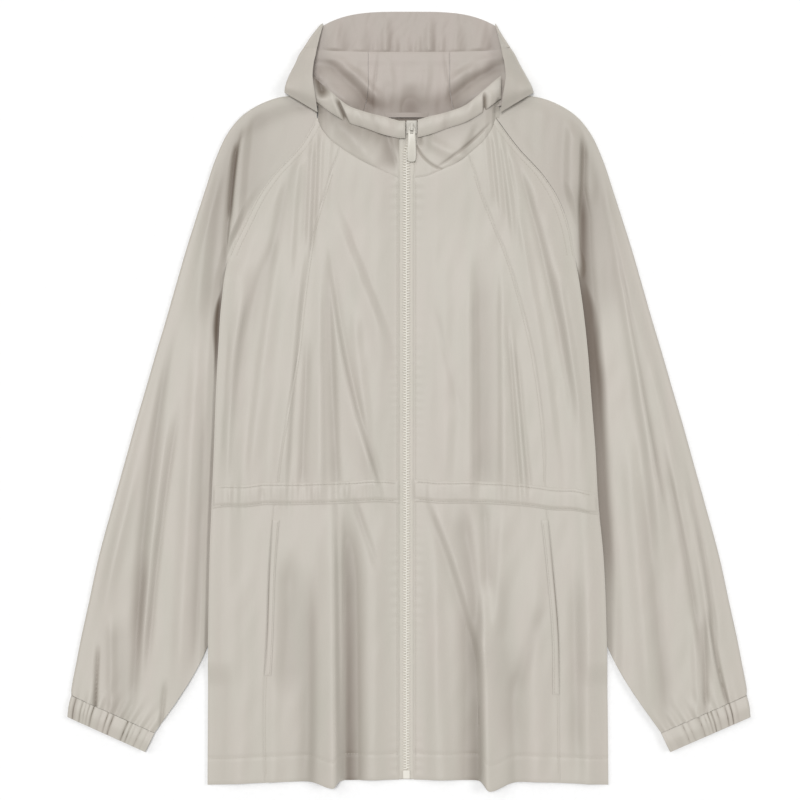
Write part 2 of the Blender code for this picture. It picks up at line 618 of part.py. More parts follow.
def hood_side(side):
    """A side of the hood: open edge, outer fold, and back under to the nape strip."""
    sections = []
    for at in np.linspace(0, len(HOOD) - 1, HOOD_SECTIONS):
        row = hood_row(at)
        open_edge = np.array([side * row.open_x, row.open_y, row.open_z])
        fold = np.array([fold_line(row, side), row.fold_y, row.fold_z])
        inward = (open_edge - fold)[:2]
        fold[:2] += inward / np.linalg.norm(inward) * TURN_OUT
        over = fold + [0, 0, row.fold_height]
        middle = np.array([side * row.mid_x, row.mid_y, row.mid_z])
        seam = np.array([side * row.seam_x, row.seam_y, row.seam_z])
        top = line_points([open_edge, over], HOOD_TOP_STEPS)
        sections.append((top, line_points([fold, middle, seam], HOOD_UNDER_STEPS)))
    folded_wall(f"hood_side_{SIDE_NAMES[side]}", sections, HOOD_CLOTH)


def hood_nape():
    """The strip between the hood sides, from the back of the neck to the brim."""
    across = np.linspace(-1, 1, NAPE_COLUMNS)
    rows = [hood_row(at) for at in np.linspace(0, len(HOOD) - 1, HOOD_SECTIONS)]
    under = np.array(
        [[((row.seam_x - SEAM_GAP) * a, row.seam_y, row.seam_z) for a in across] for row in rows]
    )
    wall("hood_nape", lifted(under, HOOD_CLOTH), under, LINING_COLOUR)


def brim_half(row, side):
    """Half a section of the brim: open edge, outer fold, and in along the surface to the middle."""
    open_edge = np.array([side * row.open_x, row.open_y, row.open_z])
    fold = np.array([fold_line(row, side) - side * TURN_OUT, row.fold_y, 0])
    over = fold + [0, 0, row.fold_height]
    x = np.linspace(fold[0], 0, BRIM_FLOOR_POINTS // 2 + 1)
    y = row.centre_y + (row.fold_y - row.centre_y) * np.abs(x / fold[0]) ** row.arc
    floor = np.column_stack([x, y, np.zeros(len(x))])
    return folded_section(line_points([open_edge, over], BRIM_END_STEPS), floor, HOOD_CLOTH)


def hood_brim():
    """The brim that closes the top of the hood, folded up at both ends, its lower edge under the nape."""
    keys = np.arange(len(BRIM))
    sections = []
    for at in np.linspace(0, len(BRIM) - 1, BRIM_SECTIONS):
        row = BrimRow(*(float(smooth(keys, column(BRIM, name), at)) for name in BrimRow._fields))
        halves = zip(brim_half(row, LEFT), brim_half(row, RIGHT))
        sections.append([np.concatenate([left, right[-2::-1]]) for left, right in halves])
    outer, inner = zip(*sections)
    wall("hood_brim", np.array(outer), np.array(inner), LINING_COLOUR)


def front_end_row(from_zip):
    keys = column(FRONT_END, "from_zip")
    return [smooth(keys, column(FRONT_END, name), from_zip) for name in FrontEndRow._fields[1:]]


def hood_front(side):
    """The front end of the hood, from beside the zip to under the hood's side."""
    from_zip = np.linspace(FRONT_END_FROM_ZIP[side], FRONT_END[-1].from_zip, FRONT_END_SECTIONS)
    low_y, high_y, low_z, high_z = (values[:, None] for values in front_end_row(from_zip))
    part = np.linspace(0, 1, FRONT_END_COLUMNS)
    x = np.repeat((ZIP_X + side * from_zip)[:, None], FRONT_END_COLUMNS, 1)
    top = np.stack(
        [
            x,
            low_y + (high_y - low_y) * part,
            low_z + (high_z - low_z) * part + FRONT_END_BULGE * np.sin(math.pi * part),
        ],
        axis=-1,
    )
    wall(f"hood_front_{SIDE_NAMES[side]}", top, lifted(top, -BODY_CLOTH))


def collar(side):
    """The front stand of the collar, from the neckline to its tuck under the hood's front end."""
    from_zip = np.linspace(*COLLAR_FROM_ZIP, COLLAR_SECTIONS)
    share = (from_zip - from_zip[0]) / (from_zip[-1] - from_zip[0])
    x = ZIP_X + side * from_zip
    neck_y = neck_line(side, from_zip)
    slope = np.gradient(neck_y, from_zip)
    low_y = neck_y + 2 * SEAM_GAP * np.hypot(1, slope)
    high_y = front_end_row(from_zip)[0] + COLLAR_TUCK
    low_z = front_under(side, x, neck_y) + BODY_CLOTH
    high_z = COLLAR_TOP_Z[0] + (COLLAR_TOP_Z[1] - COLLAR_TOP_Z[0]) * step_up(share)
    part = np.linspace(0, 1, COLLAR_COLUMNS)
    bulge = COLLAR_BULGE * np.sin(math.pi * part) * np.sin(math.pi * share)[:, None]
    top = np.stack(
        [
            x[:, None] + side * COLLAR_LEAN[side] * part * (1 - share)[:, None],
            low_y[:, None] + (high_y - low_y)[:, None] * part,
            low_z[:, None] + (high_z - low_z)[:, None] * part + bulge,
        ],
        axis=-1,
    )
    wall(f"collar_{SIDE_NAMES[side]}", top, lifted(top, -BODY_CLOTH))


def zip_line(y):
    """x of the zip's middle: straight, and leaning to the right just under the slider."""
    return ZIP_X + ZIP_LEAN * step_up((np.asarray(y, float) - ZIP_LEAN_FROM) / (ZIP_LEAN_TO - ZIP_LEAN_FROM))


def zip_strip(name, from_line, y_rows, thick, colour, roughness):
    """A strip beside or on the zip's line, which follows its rise to the collar."""
    y = np.asarray(y_rows, float)[:, None]
    x = zip_line(y) + np.array([sorted(from_line)])
    x, y = np.broadcast_arrays(x, y)
    under = np.stack([x, y, ZIP_FLOOR + neck_rise(y)], axis=-1)
    wall(name, lifted(under, thick), under, colour, roughness)


def zip_tapes_and_chain():
    bend = np.arange(NECK_RISE_FROM - ZIP_BEND_PAST, ZIP_LEAN_TO, ZIP_BEND_STEP)
    chain_start = ZIP_BOTTOM_Y + BOX_LENGTH + CHAIN_GAP
    chain_end = SLIDER_Y - SLIDER_LENGTH / 2 - CHAIN_GAP
    tape_near = CHAIN_HALF + CHAIN_GAP
    for side in (LEFT, RIGHT):
        edges = side * tape_near, side * TAPE_REACH
        rows = np.concatenate([[ZIP_BOTTOM_Y], bend, [ZIP_LEAN_TO, ZIP_TOP_Y]])
        zip_strip(f"zip_tape_{SIDE_NAMES[side]}", edges, rows, TAPE_THICK, CLOTH_COLOUR, CLOTH_ROUGHNESS)
    rows = np.concatenate([[chain_start], bend, [chain_end]])
    edges = -CHAIN_HALF, CHAIN_HALF
    zip_strip("zip_chain", edges, rows, CHAIN_THICK, PLASTIC_COLOUR, PLASTIC_ROUGHNESS)


def block(name, centre, size):
    """A box as a bmesh in metres, moved to its centre."""
    mesh = bmesh.new()
    bmesh.ops.create_cube(mesh, size=1)
    bmesh.ops.scale(mesh, vec=np.array(size) * MM, verts=mesh.verts)
    bmesh.ops.translate(mesh, vec=np.array(centre) * MM, verts=mesh.verts)
    made = bpy.data.meshes.new(name)
    mesh.to_mesh(made)
    mesh.free()
    return made


def bevelled(piece, width):
    bevel = piece.modifiers.new("soft_edges", "BEVEL")
    bevel.width, bevel.segments, bevel.limit_method = width * MM, BEVEL_STEPS, "ANGLE"
    return piece


def joined(piece, other):
    """Adds a helper mesh to a piece with a Boolean union."""
    helper = bpy.data.objects.new(other.name, other)
    helper.hide_render = True
    helper.display_type = "WIRE"
    helpers.objects.link(helper)
    union = piece.modifiers.new(other.name, "BOOLEAN")
    union.operation, union.solver, union.object = "UNION", "EXACT", helper


def zip_floor_at_top():
    return ZIP_FLOOR + NECK_RISE


def zip_box():
    height = CHAIN_THICK + BOX_TALLER
    centre = (ZIP_X, ZIP_BOTTOM_Y + BOX_LENGTH / 2, ZIP_FLOOR + height / 2)
    mesh = block("zip_box", centre, (2 * CHAIN_HALF, BOX_LENGTH, height))
    bevelled(keep("zip_box", mesh, PLASTIC_COLOUR, PLASTIC_ROUGHNESS), BOX_BEVEL)


def bridge_heights():
    """Top of the slider's plate, and the middle of the space under its bridge."""
    plate_top = zip_floor_at_top() + SLIDER_BODY_TALL + SLIDER_PLATE_THICK
    return plate_top, plate_top + BRIDGE_TALL / 2


def zip_slider():
    """The slider: a body between the tapes, a plate over them, and a bridge that holds the tab."""
    floor, slider_x = zip_floor_at_top(), zip_line(SLIDER_Y)
    plate_top, _ = bridge_heights()
    body = block(
        "zip_slider",
        (slider_x, SLIDER_Y, floor + (SLIDER_BODY_TALL + SLIDER_JOIN) / 2),
        (2 * SLIDER_BODY_HALF, SLIDER_LENGTH, SLIDER_BODY_TALL + SLIDER_JOIN),
    )
    slider = keep("zip_slider", body, PLASTIC_COLOUR, PLASTIC_ROUGHNESS)
    plate_centre = (slider_x, SLIDER_Y, plate_top - SLIDER_PLATE_THICK / 2)
    plate_size = (2 * SLIDER_PLATE_HALF, SLIDER_LENGTH, SLIDER_PLATE_THICK)
    joined(slider, block("plate", plate_centre, plate_size))
    leg_tall = BRIDGE_TALL + BRIDGE_LEG + SLIDER_JOIN
    for end in (-1, 1):
        leg_y = SLIDER_Y + end * (BRIDGE_CLEAR + BRIDGE_LEG / 2)
        leg_centre = (slider_x, leg_y, plate_top - SLIDER_JOIN + leg_tall / 2)
        joined(slider, block(f"leg_{end}", leg_centre, (2 * BRIDGE_HALF, BRIDGE_LEG, leg_tall)))
    beam_centre = (slider_x, SLIDER_Y, plate_top + BRIDGE_TALL + BRIDGE_LEG / 2)
    beam_size = (2 * BRIDGE_HALF, 2 * BRIDGE_CLEAR + BRIDGE_LEG, BRIDGE_LEG)
    joined(slider, block("beam", beam_centre, beam_size))
    bevelled(slider, SLIDER_BEVEL)


def zip_pull():
    """The pull tab: a plate with a rounded end and a window whose end bar turns under the bridge."""
    angles = np.linspace(0, -math.pi, TAB_CORNERS + 1)
    end_centre = -TAB_LENGTH + TAB_END_HALF
    rounded = np.column_stack([np.cos(angles), np.sin(angles)]) * TAB_END_HALF + [0, end_centre]
    outline = np.concatenate([[[-TAB_NECK_HALF, TAB_BAR], [TAB_NECK_HALF, TAB_BAR]], rounded])
    half = TAB_WINDOW_HALF
    window = np.array(
        [[-half, -TAB_BAR], [-half, -TAB_WINDOW], [half, -TAB_WINDOW], [half, -TAB_BAR]]
    )
    shape = bpy.data.curves.new("zip_pull_outline", "CURVE")
    shape.dimensions, shape.fill_mode = "2D", "BOTH"
    shape.extrude = TAB_THICK / 2 * MM
    for points in (outline, window):
        spline = shape.splines.new("POLY")
        spline.points.add(len(points) - 1)
        for point, (x, y) in zip(spline.points, points):
            point.co = (x * MM, y * MM, 0, 1)
        spline.use_cyclic_u = True
    guide = bpy.data.objects.new("zip_pull_outline", shape)
    helpers.objects.link(guide)
    mesh = bpy.data.meshes.new_from_object(guide.evaluated_get(bpy.context.evaluated_depsgraph_get()))
    bpy.data.objects.remove(guide)
    plate = bmesh.new()
    plate.from_mesh(mesh)
    bmesh.ops.remove_doubles(plate, verts=plate.verts, dist=SAME_POINT)
    bmesh.ops.recalc_face_normals(plate, faces=plate.faces)
    plate.to_mesh(mesh)
    plate.free()
    mesh.name = "zip_pull"
    slider_x, (_, middle) = zip_line(SLIDER_Y), bridge_heights()
    pivot = np.array([slider_x, SLIDER_Y, middle]) * MM
    tab = keep("zip_pull", mesh, PLASTIC_COLOUR, PLASTIC_ROUGHNESS, pivot)
    tab.rotation_euler = (TAB_TILT, 0, 0)


def hanger_loop():
    """A short strap at the back of the neck, bowed up in its middle."""
    part = np.linspace(0, 1, LOOP_SECTIONS)[:, None]
    x = LOOP_X[0] + (LOOP_X[1] - LOOP_X[0]) * part
    x, y = np.broadcast_arrays(x, np.array([LOOP_Y]))
    z = LOOP_FLOOR + LOOP_BOW * np.sin(math.pi * np.broadcast_to(part, x.shape))
    under = np.stack([x, y, z], axis=-1)
    wall("hanger_loop", lifted(under, LOOP_THICK), under, LINING_COLOUR)


for old in list(bpy.data.objects):
    bpy.data.objects.remove(old)
jacket = bpy.data.collections.new("hooded_jacket")
helpers = bpy.data.collections.new("helpers")
helpers.hide_render = True
bpy.context.scene.collection.children.link(jacket)
bpy.context.scene.collection.children.link(helpers)

back_panel()
for one_side in (LEFT, RIGHT):
    front_pieces(one_side)
    sleeve(one_side)
    cuff(one_side)
    hood_side(one_side)
    hood_front(one_side)
    collar(one_side)
hood_nape()
hood_brim()
zip_tapes_and_chain()
zip_box()
zip_slider()
zip_pull()
hanger_loop()
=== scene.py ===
# %% [markdown]
# # A hooded windbreaker, laid out flat
# The real jacket is cut from thin nylon, sewn along a few long seams, zipped up and laid on its back.
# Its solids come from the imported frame. They already have the right outline and the largest folds.
# This lesson dresses them: each solid is replaced by a finer shell on the same lines, with creases, seams,
# stitches and cloth that catches the light. Sizes in the tables are in millimetres unless they say pixels.

import math
from collections import namedtuple

import bpy
import numpy as np
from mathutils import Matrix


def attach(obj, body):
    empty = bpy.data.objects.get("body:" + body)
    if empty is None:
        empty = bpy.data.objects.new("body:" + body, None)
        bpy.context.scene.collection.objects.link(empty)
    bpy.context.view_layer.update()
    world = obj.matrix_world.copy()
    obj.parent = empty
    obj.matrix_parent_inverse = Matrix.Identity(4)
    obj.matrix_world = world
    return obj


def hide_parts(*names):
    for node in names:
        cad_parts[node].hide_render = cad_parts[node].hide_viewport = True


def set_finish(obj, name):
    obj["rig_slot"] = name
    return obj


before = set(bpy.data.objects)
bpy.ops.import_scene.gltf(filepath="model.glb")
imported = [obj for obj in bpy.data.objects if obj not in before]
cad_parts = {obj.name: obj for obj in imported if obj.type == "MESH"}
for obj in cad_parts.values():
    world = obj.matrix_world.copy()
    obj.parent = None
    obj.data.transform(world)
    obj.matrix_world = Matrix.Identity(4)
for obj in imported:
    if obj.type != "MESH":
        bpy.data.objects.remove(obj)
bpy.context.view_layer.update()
MM = 0.001
LEFT, RIGHT = -1, 1
SIDE_NAMES = {LEFT: "left", RIGHT: "right"}

# %% [markdown]
# ## Curves through a few points
# A seam line could be drawn as a Blender curve and sampled. Here it is a row of points in a short table and
# one function that reads a smooth curve through them, because every surface below needs whole arrays of
# points at once, and numpy gives those without a loop over vertices.


# %% Curves and soft steps
def column(table, name):
    return np.array([getattr(row, name) for row in table], float)


def smooth(keys, values, at):
    """A cubic through the table's points, whose slope at each point is that of its neighbours."""
    keys, values, at = np.asarray(keys, float), np.asarray(values, float), np.asarray(at, float)
    slopes = np.gradient(values, keys)
    cell = np.clip(np.searchsorted(keys, at) - 1, 0, len(keys) - 2)
    step = keys[cell + 1] - keys[cell]
    t = np.clip((at - keys[cell]) / step, 0, 1)
    rise = values[cell + 1] - values[cell]
    start, end = slopes[cell] * step, slopes[cell + 1] * step
    return values[cell] + t * (start + t * (3 * rise - 2 * start - end + t * (start + end - 2 * rise)))


def step_up(value):
    """3t^2 - 2t^3: 0 below nought, 1 above one, and a soft S between."""
    t = np.clip(value, 0, 1)
    return t * t * (3 - 2 * t)


def even_ends(count, closeness=0.6):
    """t - closeness * sin(2 pi t) / (2 pi): steps from 0 to 1 that are shorter near both ends."""
    t = np.linspace(0, 1, count)
    return t - closeness * np.sin(2 * math.pi * t) / (2 * math.pi)


# %% [markdown]
# ## Shells
# A thin cloth could be one plane with a Solidify modifier. A shell of two grids, joined round the edge, lets
# the edge grow thinner, as a folded seam does, and it stays one closed body. A side that is never seen has
# half the rows and columns.
# Each shell also carries a number at each point, its painted shade: how much darker its colour is drawn in
# folds and shaded places, for the material to read.

# %% Grids into meshes
SHARP_ANGLE = math.radians(55)


def grid_quads(numbers):
    """Quads of a grid of point numbers: each corner with its neighbours along the row and the next row."""
    corners = (numbers[:-1, :-1], numbers[:-1, 1:], numbers[1:, 1:], numbers[1:, :-1])
    return np.stack(corners, axis=-1).reshape(-1, 4)


NO_TRIANGLES = np.zeros((0, 3), int)


def put_mesh(name, points, quads, triangles=NO_TRIANGLES, painted_shade=None):
    """A mesh object from points in millimetres and faces, turned so that its volume is above nought."""
    halves = np.concatenate([quads[:, [0, 1, 2]], quads[:, [0, 2, 3]], triangles])
    first, second, third = (points[halves[:, i]] for i in range(3))
    if np.einsum("ij,ij->", first, np.cross(second, third)) < 0:
        quads, triangles = quads[:, ::-1], triangles[:, ::-1]
    corners = np.concatenate([quads.ravel(), triangles.ravel()])
    sizes = np.repeat([4, 3], [len(quads), len(triangles)])
    mesh = bpy.data.meshes.new(name)
    mesh.vertices.add(len(points))
    mesh.vertices.foreach_set("co", (points * MM).astype(np.float32).ravel())
    mesh.loops.add(len(corners))
    mesh.loops.foreach_set("vertex_index", corners.astype(np.int32))
    mesh.polygons.add(len(sizes))
    mesh.polygons.foreach_set("loop_start", (np.cumsum(sizes) - sizes).astype(np.int32))
    mesh.update(calc_edges=True)
    mesh.validate()
    mesh.shade_smooth()
    mesh.set_sharp_from_angle(angle=SHARP_ANGLE)
    # Painted shade: a darkening of the colour at each point, stored for the material.
    if painted_shade is not None:
        mesh.attributes.new("painted_shade", "FLOAT", "POINT").data.foreach_set("value", painted_shade.astype(np.float32))
    piece = bpy.data.objects.new(name, mesh)
    bpy.context.scene.collection.objects.link(piece)
    return piece


def put_copies(name, points, quads):
    """One mesh of many copies of a small form: a row of points for each copy, and the form's own quads."""
    numbers = quads[None] + points.shape[1] * np.arange(len(points))[:, None, None]
    return put_mesh(name, points.reshape(-1, 3), numbers.reshape(-1, 4))


def rim_of(numbers):
    """Point numbers once round the edge of a grid."""
    return np.concatenate([numbers[0, :-1], numbers[:-1, -1], numbers[-1, :0:-1], numbers[:0:-1, 0]])


def shell(name, outer, inner, painted_shade):
    """A closed shell between two full grids: both grids, and a ring of quads round their edge."""
    rows, columns = outer.shape[:2]
    top = np.arange(rows * columns).reshape(rows, columns)
    rim = rim_of(top)
    ahead = np.roll(rim, -1)
    band = np.stack([ahead, rim, rim + top.size, ahead + top.size], axis=-1)
    quads = np.concatenate([grid_quads(top), grid_quads(top + top.size)[:, ::-1], band])
    points = np.concatenate([outer.reshape(-1, 3), inner.reshape(-1, 3)])
    return put_mesh(name, points, quads, painted_shade=np.concatenate([painted_shade.ravel(), painted_shade.ravel()]))


def thinned(outer, inner):
    """Every second row and column of the inner grid.

    Where it lies below the outer grid, a point takes the height of its lowest neighbour.
    """
    rows, columns = inner.shape[:2]
    padded = np.pad(inner[..., 2], 1, mode="edge")
    lowest = np.min([padded[i : i + rows, j : j + columns] for i in range(3) for j in range(3)], axis=0)
    coarse = inner.copy()
    coarse[..., 2] = np.where(inner[..., 2] < outer[..., 2], lowest, inner[..., 2])
    return coarse[::2, ::2]


def hidden_shell(name, outer, inner, painted_shade):
    """A closed shell whose inner side is never seen, so it has half the rows and columns there.

    Each step of the coarse edge meets two of the fine edge: one triangle and one quad between them.
    """
    coarse = thinned(outer, inner)
    top = np.arange(outer.size // 3).reshape(outer.shape[:2])
    under = top.size + np.arange(coarse.size // 3).reshape(coarse.shape[:2])
    fine, sparse = rim_of(top), rim_of(under)
    corner, between, beyond = fine[::2], fine[1::2], np.roll(fine[::2], -1)
    ahead = np.roll(sparse, -1)
    band = np.stack([beyond, between, sparse, ahead], axis=-1)
    wedges = np.stack([between, corner, sparse], axis=-1)
    quads = np.concatenate([grid_quads(top), grid_quads(under)[:, ::-1], band])
    points = np.concatenate([outer.reshape(-1, 3), coarse.reshape(-1, 3)])
    return put_mesh(name, points, quads, wedges, np.concatenate([painted_shade.ravel(), painted_shade[::2, ::2].ravel()]))


def lifted(grid, height):
    """The same plan points, higher by a number or by one number for each point."""
    raised = grid.copy()
    raised[..., 2] += height
    return raised


# %% [markdown]
# ## Recording cloth
# A sheet records what was cut: its width and length along the cloth, and its area.
# Those follow from the shell's own middle grid, so one function works them out for every piece.

# %% Pieces of the jacket
Sheet = namedtuple("Sheet", "piece cut area rests_on lined")
sheets = {}
trims = {}


def arc_lengths(grid, axis):
    """The sum of the steps between neighbouring points, along one direction of the grid."""
    return np.linalg.norm(np.diff(grid, axis=axis), axis=-1).sum(axis=axis)


def grid_area(grid):
    """Half the length of the cross product of each quad's diagonals, summed."""
    along, across = grid[1:, 1:] - grid[:-1, :-1], grid[1:, :-1] - grid[:-1, 1:]
    return np.linalg.norm(np.cross(along, across), axis=-1).sum() / 2


def wear(piece, node, slot):
    """The piece rides on the jacket, stands for its solid and takes its finish from that slot."""
    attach(piece, "jacket")
    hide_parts(node)
    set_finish(piece, slot)
    return piece


def cloth(node, outer, inner, painted_shade=None, slot="shell_cloth", rests_on=("floor",), lined=False):
    """A shell that replaces one solid, and its cut for the record. A lined one has its inner faces marked."""
    painted_shade = np.zeros(outer.shape[:2]) if painted_shade is None else painted_shade
    make = shell if lined else hidden_shell
    piece = wear(make(f"{node}_cloth", outer, inner, painted_shade), node, slot)
    middle = (outer + inner) / 2 * MM
    cut = float(arc_lengths(middle, 1).max()), float(arc_lengths(middle, 0).max())
    sheets[node] = Sheet(piece, cut, min(float(grid_area(middle)), cut[0] * cut[1]), rests_on, lined)
    if lined:
        faces = (outer.shape[0] - 1) * (outer.shape[1] - 1)
        inside = np.zeros(len(piece.data.polygons), np.int32)
        inside[faces : 2 * faces] = 1
        piece.data.polygons.foreach_set("material_index", inside)
    return piece


def trim(node, outer, inner, sewn_to, slot="shell_cloth", shade=0.0):
    """A narrow strip that replaces one solid and goes with the cloth that it is sewn to."""
    piece = wear(hidden_shell(f"{node}_strip", outer, inner, np.full(outer.shape[:2], shade)), node, slot)
    trims.setdefault(sewn_to, []).append(piece)
    return piece


# %% [markdown]
# ## The lines of the body
# A pattern cutter starts with the outline and the seams. These tables give the body's edge and the princess
# seam at a few heights, the neckline by its distance from the zip, and the hem, which drops where a fold
# reaches it. The waist elastic pulls the rows near it down towards the sides.

# %% Body tables
BODY_CLOTH, SLEEVE_CLOTH, HOOD_CLOTH, TRIM_CLOTH = 1.4, 1.2, 1.2, 1.0
SEAM_GAP, LAYER_GAP = 0.3, 0.6
FRONT_FLOOR = BODY_CLOTH + LAYER_GAP
NECK_RISE, NECK_RISE_FROM, NECK_RISE_TO = 3.5, 190.0, 285.0
ZIP_X, PANEL_FROM_ZIP = -3.0, 8.5
BACK_NECK_Y, NECK_CORNER_FROM_ZIP = 325.0, 102.0
HEM_Y, HEM_DROP, HALF_HEM = -435.0, 6.0, 230.0

BodyRow = namedtuple("BodyRow", "y left_edge left_princess right_princess right_edge")
BODY = (
    BodyRow(-450, -231.5, -166.0, 174.0, 229.0),
    BodyRow(-344, -231.0, -167.0, 172.5, 228.0),
    BodyRow(-274, -230.6, -163.5, 172.0, 227.0),
    BodyRow(-183, -229.0, -160.0, 164.5, 223.5),
    BodyRow(-114, -226.6, -154.0, 157.6, 217.4),
    BodyRow(-56, -224.0, -147.0, 156.0, 214.0),
    BodyRow(1, -222.0, -137.0, 150.6, 209.5),
    BodyRow(59, -219.0, -127.0, 141.5, 205.0),
    BodyRow(116, -215.0, -121.0, 127.7, 198.5),
    BodyRow(168, -206.0, -114.0, 112.0, 190.0),
    BodyRow(202, -190.0, -108.0, 98.0, 183.0),
    BodyRow(237, -172.0, -97.5, 84.0, 169.0),
    BodyRow(258, -157.0, -91.0, 77.0, 155.0),
    BodyRow(290, -127.0, -79.5, 66.0, 126.0),
    BodyRow(326, -105.0, -68.0, 54.0, 99.0),
)
NeckRow = namedtuple("NeckRow", "from_zip left_y right_y")
NECK = (
    NeckRow(8.5, 256.0, 256.0),
    NeckRow(21.5, 261.5, 257.7),
    NeckRow(40.0, 270.0, 265.0),
    NeckRow(62.0, 281.8, 276.0),
    NeckRow(76.0, 291.0, 287.0),
    NeckRow(92.0, 305.0, 303.0),
    NeckRow(99.0, 316.0, 315.0),
    NeckRow(102.0, 325.0, 324.0),
)
HemFlute = namedtuple("HemFlute", "x zip_side far_side drop")
HEM_FLUTES = (HemFlute(-87, 5, 17, 8.0), HemFlute(92, 7, 20, 11.5))
SEAM_TRIES = 20


# %% Body lines
def body_line(name, side, y):
    """x of the body's edge or princess seam on one side, at a given y."""
    return smooth(column(BODY, "y"), column(BODY, f"{SIDE_NAMES[side]}_{name}"), y)


def neck_line(side, from_zip):
    return smooth(column(NECK, "from_zip"), column(NECK, f"{SIDE_NAMES[side]}_y"), from_zip)


def hem_line(x):
    """A shallow parabola, less a bell curve for each fold that reaches the hem."""
    y = HEM_Y - HEM_DROP * (np.abs(x) / HALF_HEM) ** 2
    for flute in HEM_FLUTES:
        width = np.where(np.abs(x) < abs(flute.x), flute.zip_side, flute.far_side)
        y = y - flute.drop * np.exp(-(((x - flute.x) / width) ** 2))
    return y


def princess_top(side):
    """Where the princess seam meets the neckline, found by going from one to the other."""
    y = BACK_NECK_Y
    for _ in range(SEAM_TRIES):
        x = body_line("princess", side, y)
        y = neck_line(side, abs(x - ZIP_X))
    return float(x), float(y)


print("princess seams end at", princess_top(LEFT), princess_top(RIGHT))

# %% [markdown]
# ## Creases
# Thin nylon falls in long soft folds. They could be sculpted, or left to a cloth simulation, but neither puts
# a fold where it belongs. So each one is a row: two ends read off the view from above in pixels, a bow, and
# a half width and a height at each end in millimetres. A trough is a ridge with a height below nought.
# Lean makes a fold steep on one side, as it is where the cloth turns over.

